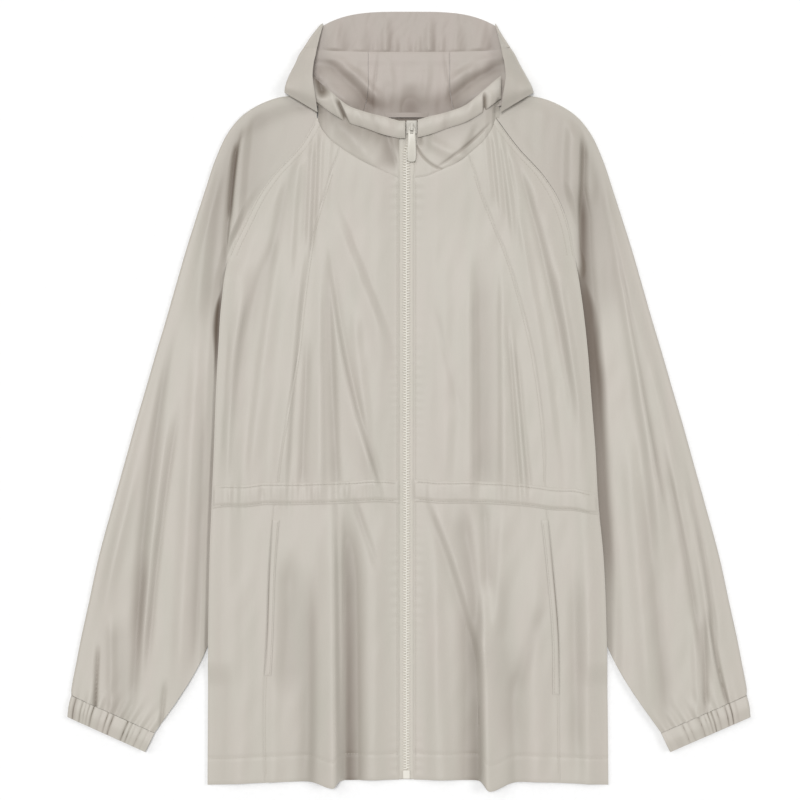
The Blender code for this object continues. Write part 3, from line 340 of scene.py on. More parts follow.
# %% Crease tables of the front
PIXEL_MM, PIXEL_CENTRE = 1.15, (409.0, 400.85)
CREASE_FADE = 0.24
Crease = namedtuple("Crease", "x0 y0 x1 y1 bow width0 width1 height0 height1 lean")
FRONT_CREASES = {
    LEFT: (
        Crease(331, 470, 334, 900, 0, 9, 15, 4.5, 13.0, -0.72),
        Crease(346, 490, 348, 880, 2, 8, 8.5, -5.4, -10.5, 0.6),
        Crease(372, 500, 370, 900, 0, 14, 18, 2.0, 3.5, 0),
        Crease(309, 560, 308, 860, 0, 9, 10, -2.6, -3.4, -0.3),
        Crease(290, 545, 288, 710, 0, 11, 13, -2.0, -2.0, 0),
        Crease(277, 520, 272, 900, 0, 8, 10, 1.2, 2.4, 0),
        Crease(238, 520, 240, 900, 0, 14, 18, 2.0, 3.4, 0.3),
        Crease(352, 494, 380, 575, 0, 3, 5, -1.5, -1.0, 0),
        Crease(327, 190, 407, 392, 0, 10, 9, 2.0, 3.2, -0.7),
        Crease(333, 200, 411, 395, 0, 4.5, 5, -0.7, -1.2, 0.4),
        Crease(322, 225, 388, 520, -11, 8, 9, 2.0, 3.4, -0.65),
        Crease(330, 240, 395, 520, -11, 4, 5, -0.9, -2.2, 0.3),
        Crease(327, 235, 338, 530, 0, 4.5, 6, -1.4, -2.8, -0.2),
        Crease(319, 270, 321, 530, 0, 6, 8, 1.8, 3.2, -0.5),
        Crease(308, 330, 301, 510, 0, 4, 5, -1.4, -2.2, 0.2),
        Crease(305, 235, 282, 520, -3, 7, 9, 2.6, 3.8, -0.7),
        Crease(288, 215, 228, 440, -12, 7, 9, -1.2, -2.0, 0.3),
        Crease(285, 225, 250, 510, -4, 8, 10, 2.2, 3.4, 0.4),
        Crease(248, 270, 226, 490, -4, 6, 6, 1.8, 2.6, -0.5),
        Crease(229, 320, 219, 470, 0, 3, 4, -1.2, -1.8, 0),
        Crease(352, 290, 372, 490, 0, 6, 7, 1.4, 2.4, 0),
        Crease(309, 104, 276, 250, -3, 2.8, 4.4, -0.8, -0.9, 0.2),
        Crease(312, 106, 304, 262, -1, 2.4, 3.4, -0.9, -0.8, 0.2),
        Crease(317, 110, 311, 270, 1, 2.2, 3.2, -1.2, -1.2, 0.2),
        Crease(300, 112, 268, 285, -3, 3, 5, -0.8, -1.0, 0.2),
        Crease(306, 104, 290, 290, -2, 3, 4.5, 1.2, 1.4, -0.3),
        Crease(314.5, 108, 307.5, 260, 0, 2.4, 3.2, 1.2, 1.0, -0.3),
        Crease(322, 114, 317, 232, 1, 2.6, 3.4, 1.1, 0.9, 0),
        Crease(331, 132, 325, 215, 0, 3, 4, 0.8, 0.6, 0),
    ),
    RIGHT: (
        Crease(422, 480, 487, 690, 9, 8, 10, 2.2, 4.0, 0.4),
        Crease(413, 480, 477, 690, 9, 6, 7, -0.8, -1.6, -0.2),
        Crease(484, 575, 490, 900, 0, 9, 14, 3.4, 12.0, 0.65),
        Crease(472, 590, 477, 880, 0, 9, 10, -3.4, -8.0, -0.55),
        Crease(461, 500, 481, 650, 0, 9, 9, -2.4, -2.6, -0.3),
        Crease(504, 560, 508, 760, 0, 10, 12, -1.3, -1.3, 0),
        Crease(430, 510, 446, 900, 0, 12, 15, 2.0, 4.2, -0.3),
        Crease(514, 640, 515, 870, 0, 9, 11, -1.4, -2.2, 0.3),
        Crease(545, 600, 512, 700, 0, 8, 8, -1.4, -1.4, 0),
        Crease(533, 520, 538, 900, 0, 12, 15, 2.0, 3.6, 0),
        Crease(587, 520, 590, 900, 0, 11, 13, 1.6, 3.0, 0.3),
        Crease(574, 560, 576, 780, 0, 7, 8, -1.2, -2.0, 0),
        Crease(503, 500, 497, 640, 0, 8, 9, 1.8, 2.2, 0.3),
        Crease(484, 495, 487, 600, 0, 5, 6, -1.6, -1.6, 0),
        Crease(479, 245, 483, 530, 0, 9, 11, -2.0, -3.4, 0.5),
        Crease(468, 245, 469, 530, 0, 8, 8, 2.0, 3.0, -0.6),
        Crease(446, 250, 444, 510, 0, 10, 11, 1.4, 2.6, 0),
        Crease(432, 300, 462, 420, 0, 4, 4, -0.5, -0.5, 0),
        Crease(502, 245, 505, 530, 0, 6, 8, 1.8, 2.8, 0.4),
        Crease(506, 310, 522, 520, 0, 2.6, 3, -1.1, -1.6, 0.2),
        Crease(514, 330, 532, 515, 0, 2.6, 3, -0.9, -1.2, 0.2),
        Crease(510, 310, 527, 520, 0, 3, 3.4, 1.1, 1.5, -0.3),
        Crease(506, 125, 578, 450, 8, 4.5, 7, -1.5, -1.5, 0.4),
        Crease(515, 140, 588, 460, 9, 7, 9, 1.8, 2.6, 0.4),
        Crease(499, 148, 558, 490, 8, 6, 8, 1.8, 2.4, -0.5),
        Crease(560, 270, 590, 470, 3, 3, 5, -0.8, -1.3, 0),
        Crease(568, 270, 597, 480, 3, 5, 6, 1.6, 2.4, 0),
        Crease(488, 122, 497, 215, 0, 2.4, 3, -0.8, -0.7, -0.2),
        Crease(493, 112, 508, 232, 1, 2.3, 3.2, -1.0, -0.8, -0.2),
        Crease(498, 110, 520, 262, 2, 2.5, 3.8, -0.9, -0.9, -0.2),
        Crease(484, 126, 491, 210, 0, 2.6, 3.4, 0.9, 0.7, 0),
        Crease(490.5, 116, 502, 228, 1, 2.4, 3.2, 1.1, 0.9, 0.3),
        Crease(496, 109, 514, 250, 2, 2.5, 3.6, 1.2, 1.0, 0.3),
        Crease(501, 110, 530, 280, 2, 2.8, 4.4, 1.0, 1.0, 0.3),
    ),
}


# %% Crease heights
def from_pixels(x, y):
    return (x - PIXEL_CENTRE[0]) * PIXEL_MM, (PIXEL_CENTRE[1] - y) * PIXEL_MM


def crease_field(creases, x, y):
    """The sum over the table of height * exp(-(d / w)^2), and the part of it below nought, kept as the
    troughs' painted shade.

    d is the distance from the bowed line, and w grows to one side and shrinks to the other by lean.
    """
    total, painted_shade = np.zeros(x.shape), np.zeros(x.shape)
    for row in creases:
        x0, y0 = from_pixels(row.x0, row.y0)
        x1, y1 = from_pixels(row.x1, row.y1)
        run, climb = x1 - x0, y1 - y0
        length = math.hypot(run, climb)
        along = ((x - x0) * run + (y - y0) * climb) / length**2
        part = np.clip(along, 0, 1)
        across = ((y - y0) * run - (x - x0) * climb) / length - 4 * row.bow * PIXEL_MM * part * (1 - part)
        width = row.width0 + (row.width1 - row.width0) * part
        width = width * (1 + row.lean * np.tanh(across / width))
        ends = step_up(along / CREASE_FADE) * step_up((1 - along) / CREASE_FADE)
        height = row.height0 + (row.height1 - row.height0) * part
        bump = height * ends * np.exp(-((across / width) ** 2))
        total += bump
        painted_shade -= np.minimum(bump, 0)
    return total, painted_shade


# %% [markdown]
# ## Small unevenness
# Cloth that was folded in a bag is never quite smooth. A few long waves of different lengths, added up, give
# a surface that never repeats. The numbers come from a seeded generator, so each run gives the same cloth.

# %% Faint waves
RIPPLE_COUNT, RIPPLE_LENGTHS, RIPPLE_HEIGHT = 14, (15.0, 60.0), 0.045
RIPPLE_TURN, RIPPLE_STRETCH, RIPPLE_SEED = 0.5, 0.66, 11
chance = np.random.default_rng(RIPPLE_SEED)
ripple_lengths = chance.uniform(*RIPPLE_LENGTHS, RIPPLE_COUNT)
ripple_turns = chance.normal(0, RIPPLE_TURN, RIPPLE_COUNT)
ripple_starts = chance.uniform(0, 2 * math.pi, RIPPLE_COUNT)


def ripples(x, y):
    """The sum of RIPPLE_HEIGHT * sin(2 pi (x cos a + stretch y sin a) / length + start)."""
    total = np.zeros(np.broadcast(x, y).shape)
    for length, turn, start in zip(ripple_lengths, ripple_turns, ripple_starts):
        phase = (x * math.cos(turn) + RIPPLE_STRETCH * y * math.sin(turn)) / length
        total += RIPPLE_HEIGHT * np.sin(2 * math.pi * phase + start)
    return total


Uneven = namedtuple("Uneven", "level swing pitch bend bend_pitch start")


def uneven(at, row):
    """level + swing * sin(at / pitch + bend * sin(at / bend_pitch) + start): a wave whose pitch wanders."""
    return row.level + row.swing * np.sin(at / row.pitch + row.bend * np.sin(at / row.bend_pitch) + row.start)


# %% [markdown]
# ## How the front lies
# The front lies on the back, on the zip's tape and, at its sides, on the hidden edge of each sleeve. Its
# underside is one height for each point seen from above, so every panel, casing and welt that reads the same
# function meets its neighbours without a step.

# %% Front heights
CALM_AT_ZIP, CALM_AT_EDGE = (11.0, 26.0), (0.0, 24.0)
SLEEVE_HIDDEN_HEIGHT, SLEEVE_HIDDEN_FROM, SLEEVE_HIDDEN_TO, SLEEVE_WINDOW_FADE = 2.8, 136.0, -298.0, 32.0
SLEEVE_STRIP, SLEEVE_LIFT = 13.0, SLEEVE_HIDDEN_HEIGHT + LAYER_GAP
BACK_RAMP, FRONT_RAMP = 13.0, 27.0
ZIP_FLOOR, TAPE_REACH, TAPE_THICK = 1.8, 15.0, 1.0
ZIP_LEAN, ZIP_LEAN_FROM, ZIP_LEAN_TO = 6.0, 284.0, 304.0
ZIP_LAND = ZIP_FLOOR + TAPE_THICK + SEAM_GAP - FRONT_FLOOR
ZIP_PUCKER, ZIP_PUCKER_PITCH, ZIP_PUCKER_AT, ZIP_PUCKER_REACH = 0.13, 11.0, 14.0, 6.0
PuckerBend = namedtuple("PuckerBend", "height pitch")
ZIP_PUCKER_BENDS = (PuckerBend(2.1, 23.0), PuckerBend(1.4, 41.0))
ZIP_PUCKER_STRENGTH = Uneven(0.55, 0.45, 37.0, 0.0, 1.0, 1.0)
LOFT = 3.0
WAIST_Y, WAIST_REACH, WAIST_RISE, WAIST_DROP = -106.0, 30.0, 2.5, {LEFT: 8.0, RIGHT: 16.0}
WAIST_WOBBLE = Uneven(0.0, 0.9, 13.0, 2.0, 31.0, 0.0)
GATHER_HEIGHT, GATHER_PITCHES, GATHER_REACH = 0.27, (7.3, 11.7, 21.0), 19.0
GATHER_BEND, GATHER_BEND_PITCH = 2.2, 17.0
GATHER_REACH_SHARE = Uneven(0.75, 0.25, 11.0, 2.0, 29.0, 0.0)
GATHER_PATCHES = Uneven(0.55, 0.45, 27.0, 2.4, 47.0, 0.0)


def zip_line(y):
    """x of the zip's middle: straight, and leaning to the right just under the slider."""
    return ZIP_X + ZIP_LEAN * step_up((y - ZIP_LEAN_FROM) / (ZIP_LEAN_TO - ZIP_LEAN_FROM))


def zip_puckers(from_zip, y):
    """A wave along the zip whose pitch wanders, under a bell curve beside the tape."""
    bends = sum(bend.height * np.sin(y / bend.pitch) for bend in ZIP_PUCKER_BENDS)
    wave = uneven(y, ZIP_PUCKER_STRENGTH) * np.sin(2 * math.pi * y / ZIP_PUCKER_PITCH + bends)
    return ZIP_PUCKER * wave * np.exp(-(((from_zip - ZIP_PUCKER_AT) / ZIP_PUCKER_REACH) ** 2))


def neck_rise(y):
    return NECK_RISE * step_up((y - NECK_RISE_FROM) / (NECK_RISE_TO - NECK_RISE_FROM))


def sleeve_lift(side, x, y, ramp):
    """How far a body layer is lifted where it lies over the sleeve's hidden edge."""
    inside = side * (body_line("edge", side, y) - x)
    over = 1 - step_up((inside - SLEEVE_STRIP) / ramp)
    above = 1 - step_up((y - SLEEVE_HIDDEN_FROM) / SLEEVE_WINDOW_FADE)
    below = 1 - step_up((SLEEVE_HIDDEN_TO - y) / SLEEVE_WINDOW_FADE)
    return SLEEVE_LIFT * over * above * below


def waist_shift(side, x, y):
    """How far the elastic moves a row up at the zip and down at the side, less with distance from it."""
    across = (x - ZIP_X) / (body_line("edge", side, WAIST_Y) - ZIP_X)
    shift = WAIST_RISE - WAIST_DROP[side] * across**2 + uneven(x, WAIST_WOBBLE)
    return shift * np.exp(-(((y - WAIST_Y) / WAIST_REACH) ** 2))


def waist_gathers(side, x, y):
    """Three waves of wandering pitch along the elastic, under a bell curve whose reach varies."""
    wave = 0
    for pitch in GATHER_PITCHES:
        bend = GATHER_BEND * np.sin(x / GATHER_BEND_PITCH + pitch)
        wave = wave + np.sin(2 * math.pi * x / pitch + bend)
    from_elastic = y - WAIST_Y - waist_shift(side, x, WAIST_Y)
    reach = GATHER_REACH * uneven(x, GATHER_REACH_SHARE)
    return GATHER_HEIGHT * uneven(x, GATHER_PATCHES) * wave * np.exp(-((from_elastic / reach) ** 2))


def front_field(side, x, y):
    """Underside height and painted trough shade: flat on the back, plus creases, calm at the zip and at the
    edge.
    """
    from_zip = np.abs(x - ZIP_X)
    inside = side * (body_line("edge", side, y) - x)
    calm = step_up((from_zip - CALM_AT_ZIP[0]) / CALM_AT_ZIP[1])
    calm = calm * step_up((inside - CALM_AT_EDGE[0]) / CALM_AT_EDGE[1])
    land = ZIP_LAND * (1 - step_up((from_zip - TAPE_REACH) / CALM_AT_ZIP[1]))
    creases, painted_shade = crease_field(FRONT_CREASES[side], x, y)
    folds = LOFT + np.maximum(creases, -LOFT) + ripples(x, y) + waist_gathers(side, x, y)
    under = FRONT_FLOOR + neck_rise(y) + land + sleeve_lift(side, x, y, FRONT_RAMP) + calm * folds
    under = under + zip_puckers(from_zip, y)
    return under, calm * painted_shade


# %% [markdown]
# ## Front panels
# Each front is two panels that meet at the princess seam. A panel is a grid between two seam lines. Its first
# row follows the hem and its last row follows the neckline. Both edges of a seam grow thin, and so the
# seam reads as a fine groove, as it does where two edges are turned in and pressed.

# %% Rows and edges of the body
HEM_ROWS, LEVEL_ROWS, YOKE_ROWS = 26, 263, 60
LOWEST_LEVEL, HIGHEST_LEVEL = -380.0, 168.0
HEM_SHARES = np.linspace(0, 1, HEM_ROWS, endpoint=False)
LEVELS = np.linspace(LOWEST_LEVEL, HIGHEST_LEVEL, LEVEL_ROWS)
YOKE_SHARES = np.linspace(0, 1, YOKE_ROWS + 1)[1:]


def row_heights(hem_y, top_y):
    hem = hem_y + (LEVELS[0] - hem_y) * HEM_SHARES
    yoke = LEVELS[-1] + (top_y - LEVELS[-1]) * YOKE_SHARES
    return np.concatenate([hem, LEVELS, yoke])


def side_edge(side):
    y = row_heights(float(hem_line(body_line("edge", side, HEM_Y))), BACK_NECK_Y)
    return np.stack([body_line("edge", side, y), y], axis=1)


def princess_edge(side):
    y = row_heights(float(hem_line(body_line("princess", side, HEM_Y))), princess_top(side)[1])
    return np.stack([body_line("princess", side, y), y], axis=1)


def zip_edge(side):
    x = ZIP_X + side * PANEL_FROM_ZIP
    y = row_heights(float(hem_line(x)), float(neck_line(side, PANEL_FROM_ZIP)))
    return np.stack([np.full(len(y), x), y], axis=1)


# %% Panels between two seams
SEAM_TAPER, SEAM_THIN, SEAM_SHOWN = 2.2, 0.76, 0.06
HEM_STITCH_UP, STITCH_DIP, STITCH_DIP_WIDTH = 30.0, 0.5, 1.6
HOLLOW_FULL = 11.5
PANEL_COLUMNS, FLANK_COLUMNS = 139, 63


def plan_between(near, far, across, first, last):
    """Near edge plus a share of the way to the far edge, with the end rows bent onto the hem and neckline."""
    share = across[None, :, None]
    grid = near[:, None] + (far - near)[:, None] * share
    hem_part = np.concatenate([1 - HEM_SHARES, np.zeros(len(LEVELS) + len(YOKE_SHARES))])
    top_part = np.concatenate([np.zeros(len(HEM_SHARES) + len(LEVELS)), YOKE_SHARES])
    for weights, row, end in ((hem_part, first, 0), (top_part, last, -1)):
        straight = near[end] + (far - near)[end] * share[0]
        grid = grid + weights[:, None, None] * (row - straight)[None]
    return grid


def front_plan(side, near, far, across):
    hem_x = near[0, 0] + (far - near)[0, 0] * across
    top_x = near[-1, 0] + (far - near)[-1, 0] * across
    top_y = neck_line(side, np.clip(np.abs(top_x - ZIP_X), PANEL_FROM_ZIP, NECK_CORNER_FROM_ZIP))
    hem, neck = np.stack([hem_x, hem_line(hem_x)], axis=1), np.stack([top_x, top_y], axis=1)
    plan = plan_between(near, far, across, hem, neck)
    plan[..., 1] += waist_shift(side, plan[..., 0], plan[..., 1])
    return plan


def edge_taper(grid):
    """The share of its thickness that the cloth has: little at its four edges, all a few millimetres in."""
    across = np.cumsum(np.linalg.norm(np.diff(grid[:, :, :2], axis=1), axis=-1), axis=1)
    across = np.concatenate([np.zeros((len(grid), 1)), across], axis=1)
    along = np.cumsum(np.linalg.norm(np.diff(grid[:, :, :2], axis=0), axis=-1), axis=0)
    along = np.concatenate([np.zeros((1, grid.shape[1])), along], axis=0)
    near = np.minimum(across, across[:, -1:] - across)
    near = np.minimum(near, np.minimum(along, along[-1:] - along))
    return SEAM_THIN + (1 - SEAM_THIN) * step_up(near / SEAM_TAPER)


def front_panel(side, name, near, far, columns):
    plan = front_plan(side, near, far, even_ends(columns))
    x, y = plan[..., 0], plan[..., 1]
    height, painted_shade = front_field(side, x, y)
    stitch = np.exp(-(((y - hem_line(x) - HEM_STITCH_UP) / STITCH_DIP_WIDTH) ** 2))
    under = np.dstack([plan, height])
    thick = BODY_CLOTH * edge_taper(under) - STITCH_DIP * stitch
    node = f"front_{SIDE_NAMES[side]}_{name}"
    # The troughs' depth becomes painted shade, full at HOLLOW_FULL millimetres.
    return cloth(node, lifted(under, thick), under, painted_shade / HOLLOW_FULL, rests_on=("back_panel_cloth",))


# %% Make the front panels
half_gap = np.array([SEAM_SHOWN / 2, 0])
for side in (LEFT, RIGHT):
    seam = princess_edge(side)
    centre = front_panel(side, "center", seam - side * half_gap, zip_edge(side), PANEL_COLUMNS)
    flank = front_panel(side, "side", side_edge(side), seam + side * half_gap, FLANK_COLUMNS)
    print(SIDE_NAMES[side], "front:", len(centre.data.polygons) + len(flank.data.polygons), "faces")

# %% [markdown]
# ## Waist casing and pocket welts
# The casing is a strip over the elastic, gathered a little, stitched along both edges. The welts are narrow
# strips along the pockets. Both lie on the fronts, so both are made from the front's own heights, moved out.

# %% Casing and welts
CASING_LEVELS, CASING_ROWS, CASING_COLUMNS = (-119.0, -93.0), 27, 231
CASING_PUFF, CASING_EDGE, CASING_SIT, CASING_FROM_SIDE = 0.4, 0.1, 0.05, 1.5
CASING_STITCH_IN, CASING_STITCH_DIP = 3.0, 0.6
CASING_PATCHES = Uneven(0.6, 0.4, 21.0, 1.7, 9.0, 0.0)
POCKET_LEVELS = {LEFT: (-315.0, -137.0), RIGHT: (-337.0, -137.0)}
WELT_WIDTH, WELT_ROWS, WELT_COLUMNS, SLIT_SHADE, SLIT_WIDTH = 7.0, 151, 11, 0.75, 1.1


def over_front(side, plan, clear):
    """Points just clear of the front's upper side."""
    height, _ = front_field(side, plan[..., 0], plan[..., 1])
    return np.dstack([plan, height + BODY_CLOTH + clear])


def waist_casing(side):
    """A strip across both panels, thin at its edges and puffed between its stitch lines."""
    y = np.linspace(*CASING_LEVELS, CASING_ROWS)[:, None]
    share = np.linspace(0, 1, CASING_COLUMNS)[None]
    edge = body_line("edge", side, y) - side * CASING_FROM_SIDE
    x = edge + (ZIP_X + side * PANEL_FROM_ZIP - edge) * share
    x, y = np.broadcast_arrays(x, y)
    y = y + waist_shift(side, x, y)
    under = over_front(side, np.dstack([x, y]), CASING_SIT)
    part = np.linspace(0, 1, CASING_ROWS)[:, None]
    width = CASING_LEVELS[1] - CASING_LEVELS[0]
    from_lines = [(part - at) * width for at in casing_stitch_shares()]
    stitched = sum(np.exp(-((away / STITCH_DIP_WIDTH) ** 2)) for away in from_lines)
    inward = (edge_taper(under) - SEAM_THIN) / (1 - SEAM_THIN)
    thick = CASING_EDGE + (TRIM_CLOTH - CASING_EDGE) * inward * (1 - CASING_STITCH_DIP * stitched)
    thick = thick + CASING_PUFF * uneven(x, CASING_PATCHES) * np.sin(math.pi * part) ** 2
    fronts = tuple(f"front_{SIDE_NAMES[side]}_{name}_cloth" for name in ("center", "side"))
    return cloth(f"waist_casing_{SIDE_NAMES[side]}", lifted(under, thick), under, rests_on=fronts)


def casing_stitch_shares():
    inset = CASING_STITCH_IN / (CASING_LEVELS[1] - CASING_LEVELS[0])
    return inset, 1 - inset


def pocket_welt(side):
    """A narrow strip on the centre side of the princess seam, with shade painted dark where the pocket opens
    beside it.
    """
    part = np.linspace(0, 1, WELT_ROWS)[:, None]
    y = POCKET_LEVELS[side][0] + (POCKET_LEVELS[side][1] - POCKET_LEVELS[side][0]) * part
    share = np.linspace(0, 1, WELT_COLUMNS)[None]
    x = body_line("princess", side, y) - side * (SEAM_GAP + WELT_WIDTH * share)
    x, y = np.broadcast_arrays(x, y)
    under = over_front(side, np.dstack([x, y]), SEAM_GAP)
    thick = TRIM_CLOTH * edge_taper(under)
    name = SIDE_NAMES[side]
    # Painted shade: a dark line along the welt's outer edge for the pocket opening.
    slit_shade = SLIT_SHADE * np.sin(math.pi * part) * np.exp(-((WELT_WIDTH * share / SLIT_WIDTH) ** 2))
    return trim(f"pocket_welt_{name}", lifted(under, thick), under, f"front_{name}_center", shade=slit_shade)


for side in (LEFT, RIGHT):
    waist_casing(side)
    pocket_welt(side)
print("casings and welts made")

# %% [markdown]
# ## The back
# The back rests on the floor and is nearly hidden. One grid from side to side is enough, lifted at its sides
# where the sleeves run under it.

# %% Back panel
BACK_COLUMNS, BACK_ROW_STEP = 91, 3


def back_panel():
    """A flat grid between the two side edges, plus the lift over each sleeve, with shade painted towards the
    back neck.
    """
    left, right = side_edge(LEFT), side_edge(RIGHT)
    across = even_ends(BACK_COLUMNS)
    hem_x = left[0, 0] + (right - left)[0, 0] * across
    hem = np.stack([hem_x, HEM_Y - HEM_DROP * (hem_x / HALF_HEM) ** 2], axis=1)
    neck = left[-1] + (right - left)[-1] * across[:, None]
    plan = plan_between(left, right, across, hem, neck)[::BACK_ROW_STEP]
    x, y = plan[..., 0], plan[..., 1]
    lift = np.where(x < 0, sleeve_lift(LEFT, x, y, BACK_RAMP), sleeve_lift(RIGHT, x, y, BACK_RAMP))
    under = np.dstack([plan, lift])
    # Painted shade, growing towards the back neck under the hood.
    neck_shade = step_up((y - NECK_RISE_TO) / (BACK_NECK_Y - NECK_RISE_TO))
    return cloth("back_panel", lifted(under, BODY_CLOTH * edge_taper(under)), under, neck_shade)


back_panel()
print("back made")

# %% [markdown]
# ## Sleeves
# A sleeve laid flat is a tube folded along its outer edge. Each section runs over the top, round the fold and
# back along the floor, so the shell is the whole cut of the sleeve. Its inner edge follows the raglan seam at
# the shoulder and then slips under the body.

# %% Sleeve tables
SleeveRow = namedtuple("SleeveRow", "in_y past_edge out_x out_y")
SLEEVE = (
    SleeveRow(325.0, 0.06, 106.0, 351.0),
    SleeveRow(298.8, 0.06, 150.0, 348.5),
    SleeveRow(272.7, 0.06, 186.0, 332.0),
    SleeveRow(246.5, 0.06, 208.0, 308.0),
    SleeveRow(220.3, 0.06, 223.0, 276.0),
    SleeveRow(194.2, 0.06, 234.0, 243.0),
    SleeveRow(168.0, 0.06, 245.0, 209.0),
    SleeveRow(135.0, 0.06, 256.0, 174.0),
    SleeveRow(100.0, -4.0, 267.0, 136.0),
    SleeveRow(60.0, -10.0, 279.0, 94.0),
    SleeveRow(20.0, -12.0, 291.0, 54.0),
    SleeveRow(-20.0, -12.0, 302.5, 14.0),
    SleeveRow(-60.0, -12.0, 314.0, -25.0),
    SleeveRow(-106.0, -12.0, 326.5, -70.0),
    SleeveRow(-158.0, -12.0, 340.5, -120.0),
    SleeveRow(-215.0, -11.0, 356.0, -177.0),
    SleeveRow(-262.0, -6.0, 368.0, -232.0),
    SleeveRow(-292.0, 5.0, 377.0, -273.0),
    SleeveRow(-318.0, 18.5, 382.0, -299.0),
    SleeveRow(-344.0, 35.0, 386.0, -319.0),
    SleeveRow(-364.0, 49.0, 388.0, -331.0),
    SleeveRow(-381.0, 61.0, 388.0, -338.0),
)
SLEEVE_CREASES = {
    LEFT: (
        Crease(243, 112, 221, 330, -3, 3, 2.6, -2.6, -2.6, -0.6),
        Crease(238, 138, 230, 226, -1, 2.6, 2.4, -3.4, -3.0, -0.3),
        Crease(249, 95, 231, 320, -2, 9, 9, 2.5, 3.0, -0.5),
        Crease(222, 130, 196, 350, -3, 9, 11, 3.0, 4.2, 0),
        Crease(230, 100, 206, 340, -2, 14, 14, -1.7, -1.5, 0),
        Crease(258, 90, 246, 220, 0, 16, 16, -0.9, -0.9, 0),
        Crease(330, 92, 203, 150, -6, 12, 14, -1.7, -1.7, 0),
        Crease(178, 300, 134, 690, -8, 5, 7, -1.5, -3.0, 0),
        Crease(168, 290, 100, 640, -3, 8, 10, 2.6, 3.8, 0),
        Crease(182, 390, 146, 690, -4, 3, 4, -1.2, -2.0, 0),
        Crease(172, 400, 141, 690, -4, 5, 6, 2.0, 3.0, -0.3),
        Crease(200, 300, 177, 720, 0, 8, 10, 2.6, 3.8, 0),
        Crease(207, 380, 194, 690, 0, 5, 6, -1.4, -2.2, 0),
        Crease(99, 640, 95, 722, 0, 2.2, 1.8, -1.6, -4.4, -0.2),
        Crease(147, 545, 131, 720, 0, 5, 5, -1.6, -2.0, 0),
        Crease(166, 676, 159, 748, 0, 2.4, 2.2, -1.0, -2.2, 0),
        Crease(112, 610, 112, 725, 0, 5, 5, 1.8, 2.4, 0),
        Crease(116, 610, 120, 745, 0, 13, 15, -1.0, -1.6, 0),
    ),
    RIGHT: (
        Crease(585, 105, 583, 330, -2, 4.2, 5, -3.4, -3.4, 0.2),
        Crease(583, 180, 589, 350, 0, 9, 11, -3.4, -4.8, 0.1),
        Crease(573, 95, 568, 290, 0, 9, 10, 2.5, 3.0, 0.4),
        Crease(598, 120, 668, 600, 4, 8, 10, 3.2, 5.0, 0.2),
        Crease(589, 100, 612, 340, 2, 14, 14, -1.7, -1.5, 0),
        Crease(556, 90, 570, 220, 0, 16, 16, -0.5, -0.8, 0),
        Crease(606, 190, 672, 540, 0, 2.8, 3.2, -1.0, -1.5, 0.3),
        Crease(600, 190, 665, 540, 0, 6, 7, 1.0, 1.5, -0.4),
        Crease(622, 220, 694, 600, 3, 7, 9, 2.6, 4.2, 0),
        Crease(660, 440, 703, 680, 4, 3.4, 4, -1.6, -2.0, 0),
        Crease(680, 430, 718, 670, 4, 3.4, 4, -1.2, -1.8, 0),
        Crease(676, 450, 717, 710, 5, 4, 5, 1.6, 2.6, 0),
        Crease(624, 400, 653, 740, 0, 10, 12, 3.0, 4.2, 0),
        Crease(640, 460, 670, 745, 0, 7, 8, -0.8, -1.8, 0),
        Crease(694, 600, 698, 730, 0, 5, 5, 1.6, 2.4, 0),
        Crease(703, 605, 706, 726, 0, 3.2, 2.8, -1.2, -3.0, 0),
        Crease(707, 600, 733, 724, -3, 2.6, 2.4, -1.2, -3.8, 0),
    ),
}
SLEEVE_HEIGHT, SLEEVE_FOLD_HEIGHT, SLEEVE_RISE_WIDTH = 6.0, 4.5, 18.0
SLEEVE_HOLLOW_FULL = 7.5
SHOULDER_SHADE, SHOULDER_FROM, SHOULDER_FADE = 0.13, 150.0, 110.0
Valley = namedtuple("Valley", "start rise")
VALLEYS = {LEFT: Valley(1.5, 10.0), RIGHT: Valley(6.0, 15.0)}
# Painted shade in the valley beside the body's edge: its strength and width on each side, at each height.
ValleyRow = namedtuple("ValleyRow", "y left left_wide right right_wide")
VALLEY_ROWS = (
    ValleyRow(-340, 0.25, 5.0, 0.25, 8.0),
    ValleyRow(-275, 0.5, 6.0, 0.4, 11.0),
    ValleyRow(-229, 0.4, 5.0, 0.45, 13.0),
    ValleyRow(-171, 0.4, 5.0, 0.7, 16.0),
    ValleyRow(-125, 0.45, 5.0, 0.75, 18.0),
    ValleyRow(-68, 0.5, 5.0, 0.75, 18.0),
    ValleyRow(-22, 0.45, 4.0, 0.85, 19.0),
    ValleyRow(24, 0.5, 4.0, 0.95, 22.0),
    ValleyRow(53, 0.85, 6.0, 1.0, 20.0),
    ValleyRow(87, 1.0, 10.0, 1.0, 21.0),
    ValleyRow(112, 0.95, 8.0, 1.0, 20.0),
    ValleyRow(127, 0.6, 4.0, 0.95, 17.0),
    ValleyRow(145, 0.5, 3.0, 0.8, 14.0),
    ValleyRow(200, 0.3, 3.0, 0.3, 9.0),
)
VALLEY_FLAT, VALLEY_FADE = 0.4, 0.6
TURN_OUT, TURN_POINTS = 3.0, 9
SLEEVE_ROWS, SLEEVE_COLUMNS, SLEEVE_FLOOR_COLUMNS, SLEEVE_CLOSENESS = 341, 93, 9, 0.4
CUFF_GATHERS, CUFF_GATHER_REACH, CUFF_GATHER_HEIGHT = 8, 46.0, 1.9


# %% Folded tubes
UP = np.array([0, 0, 1])


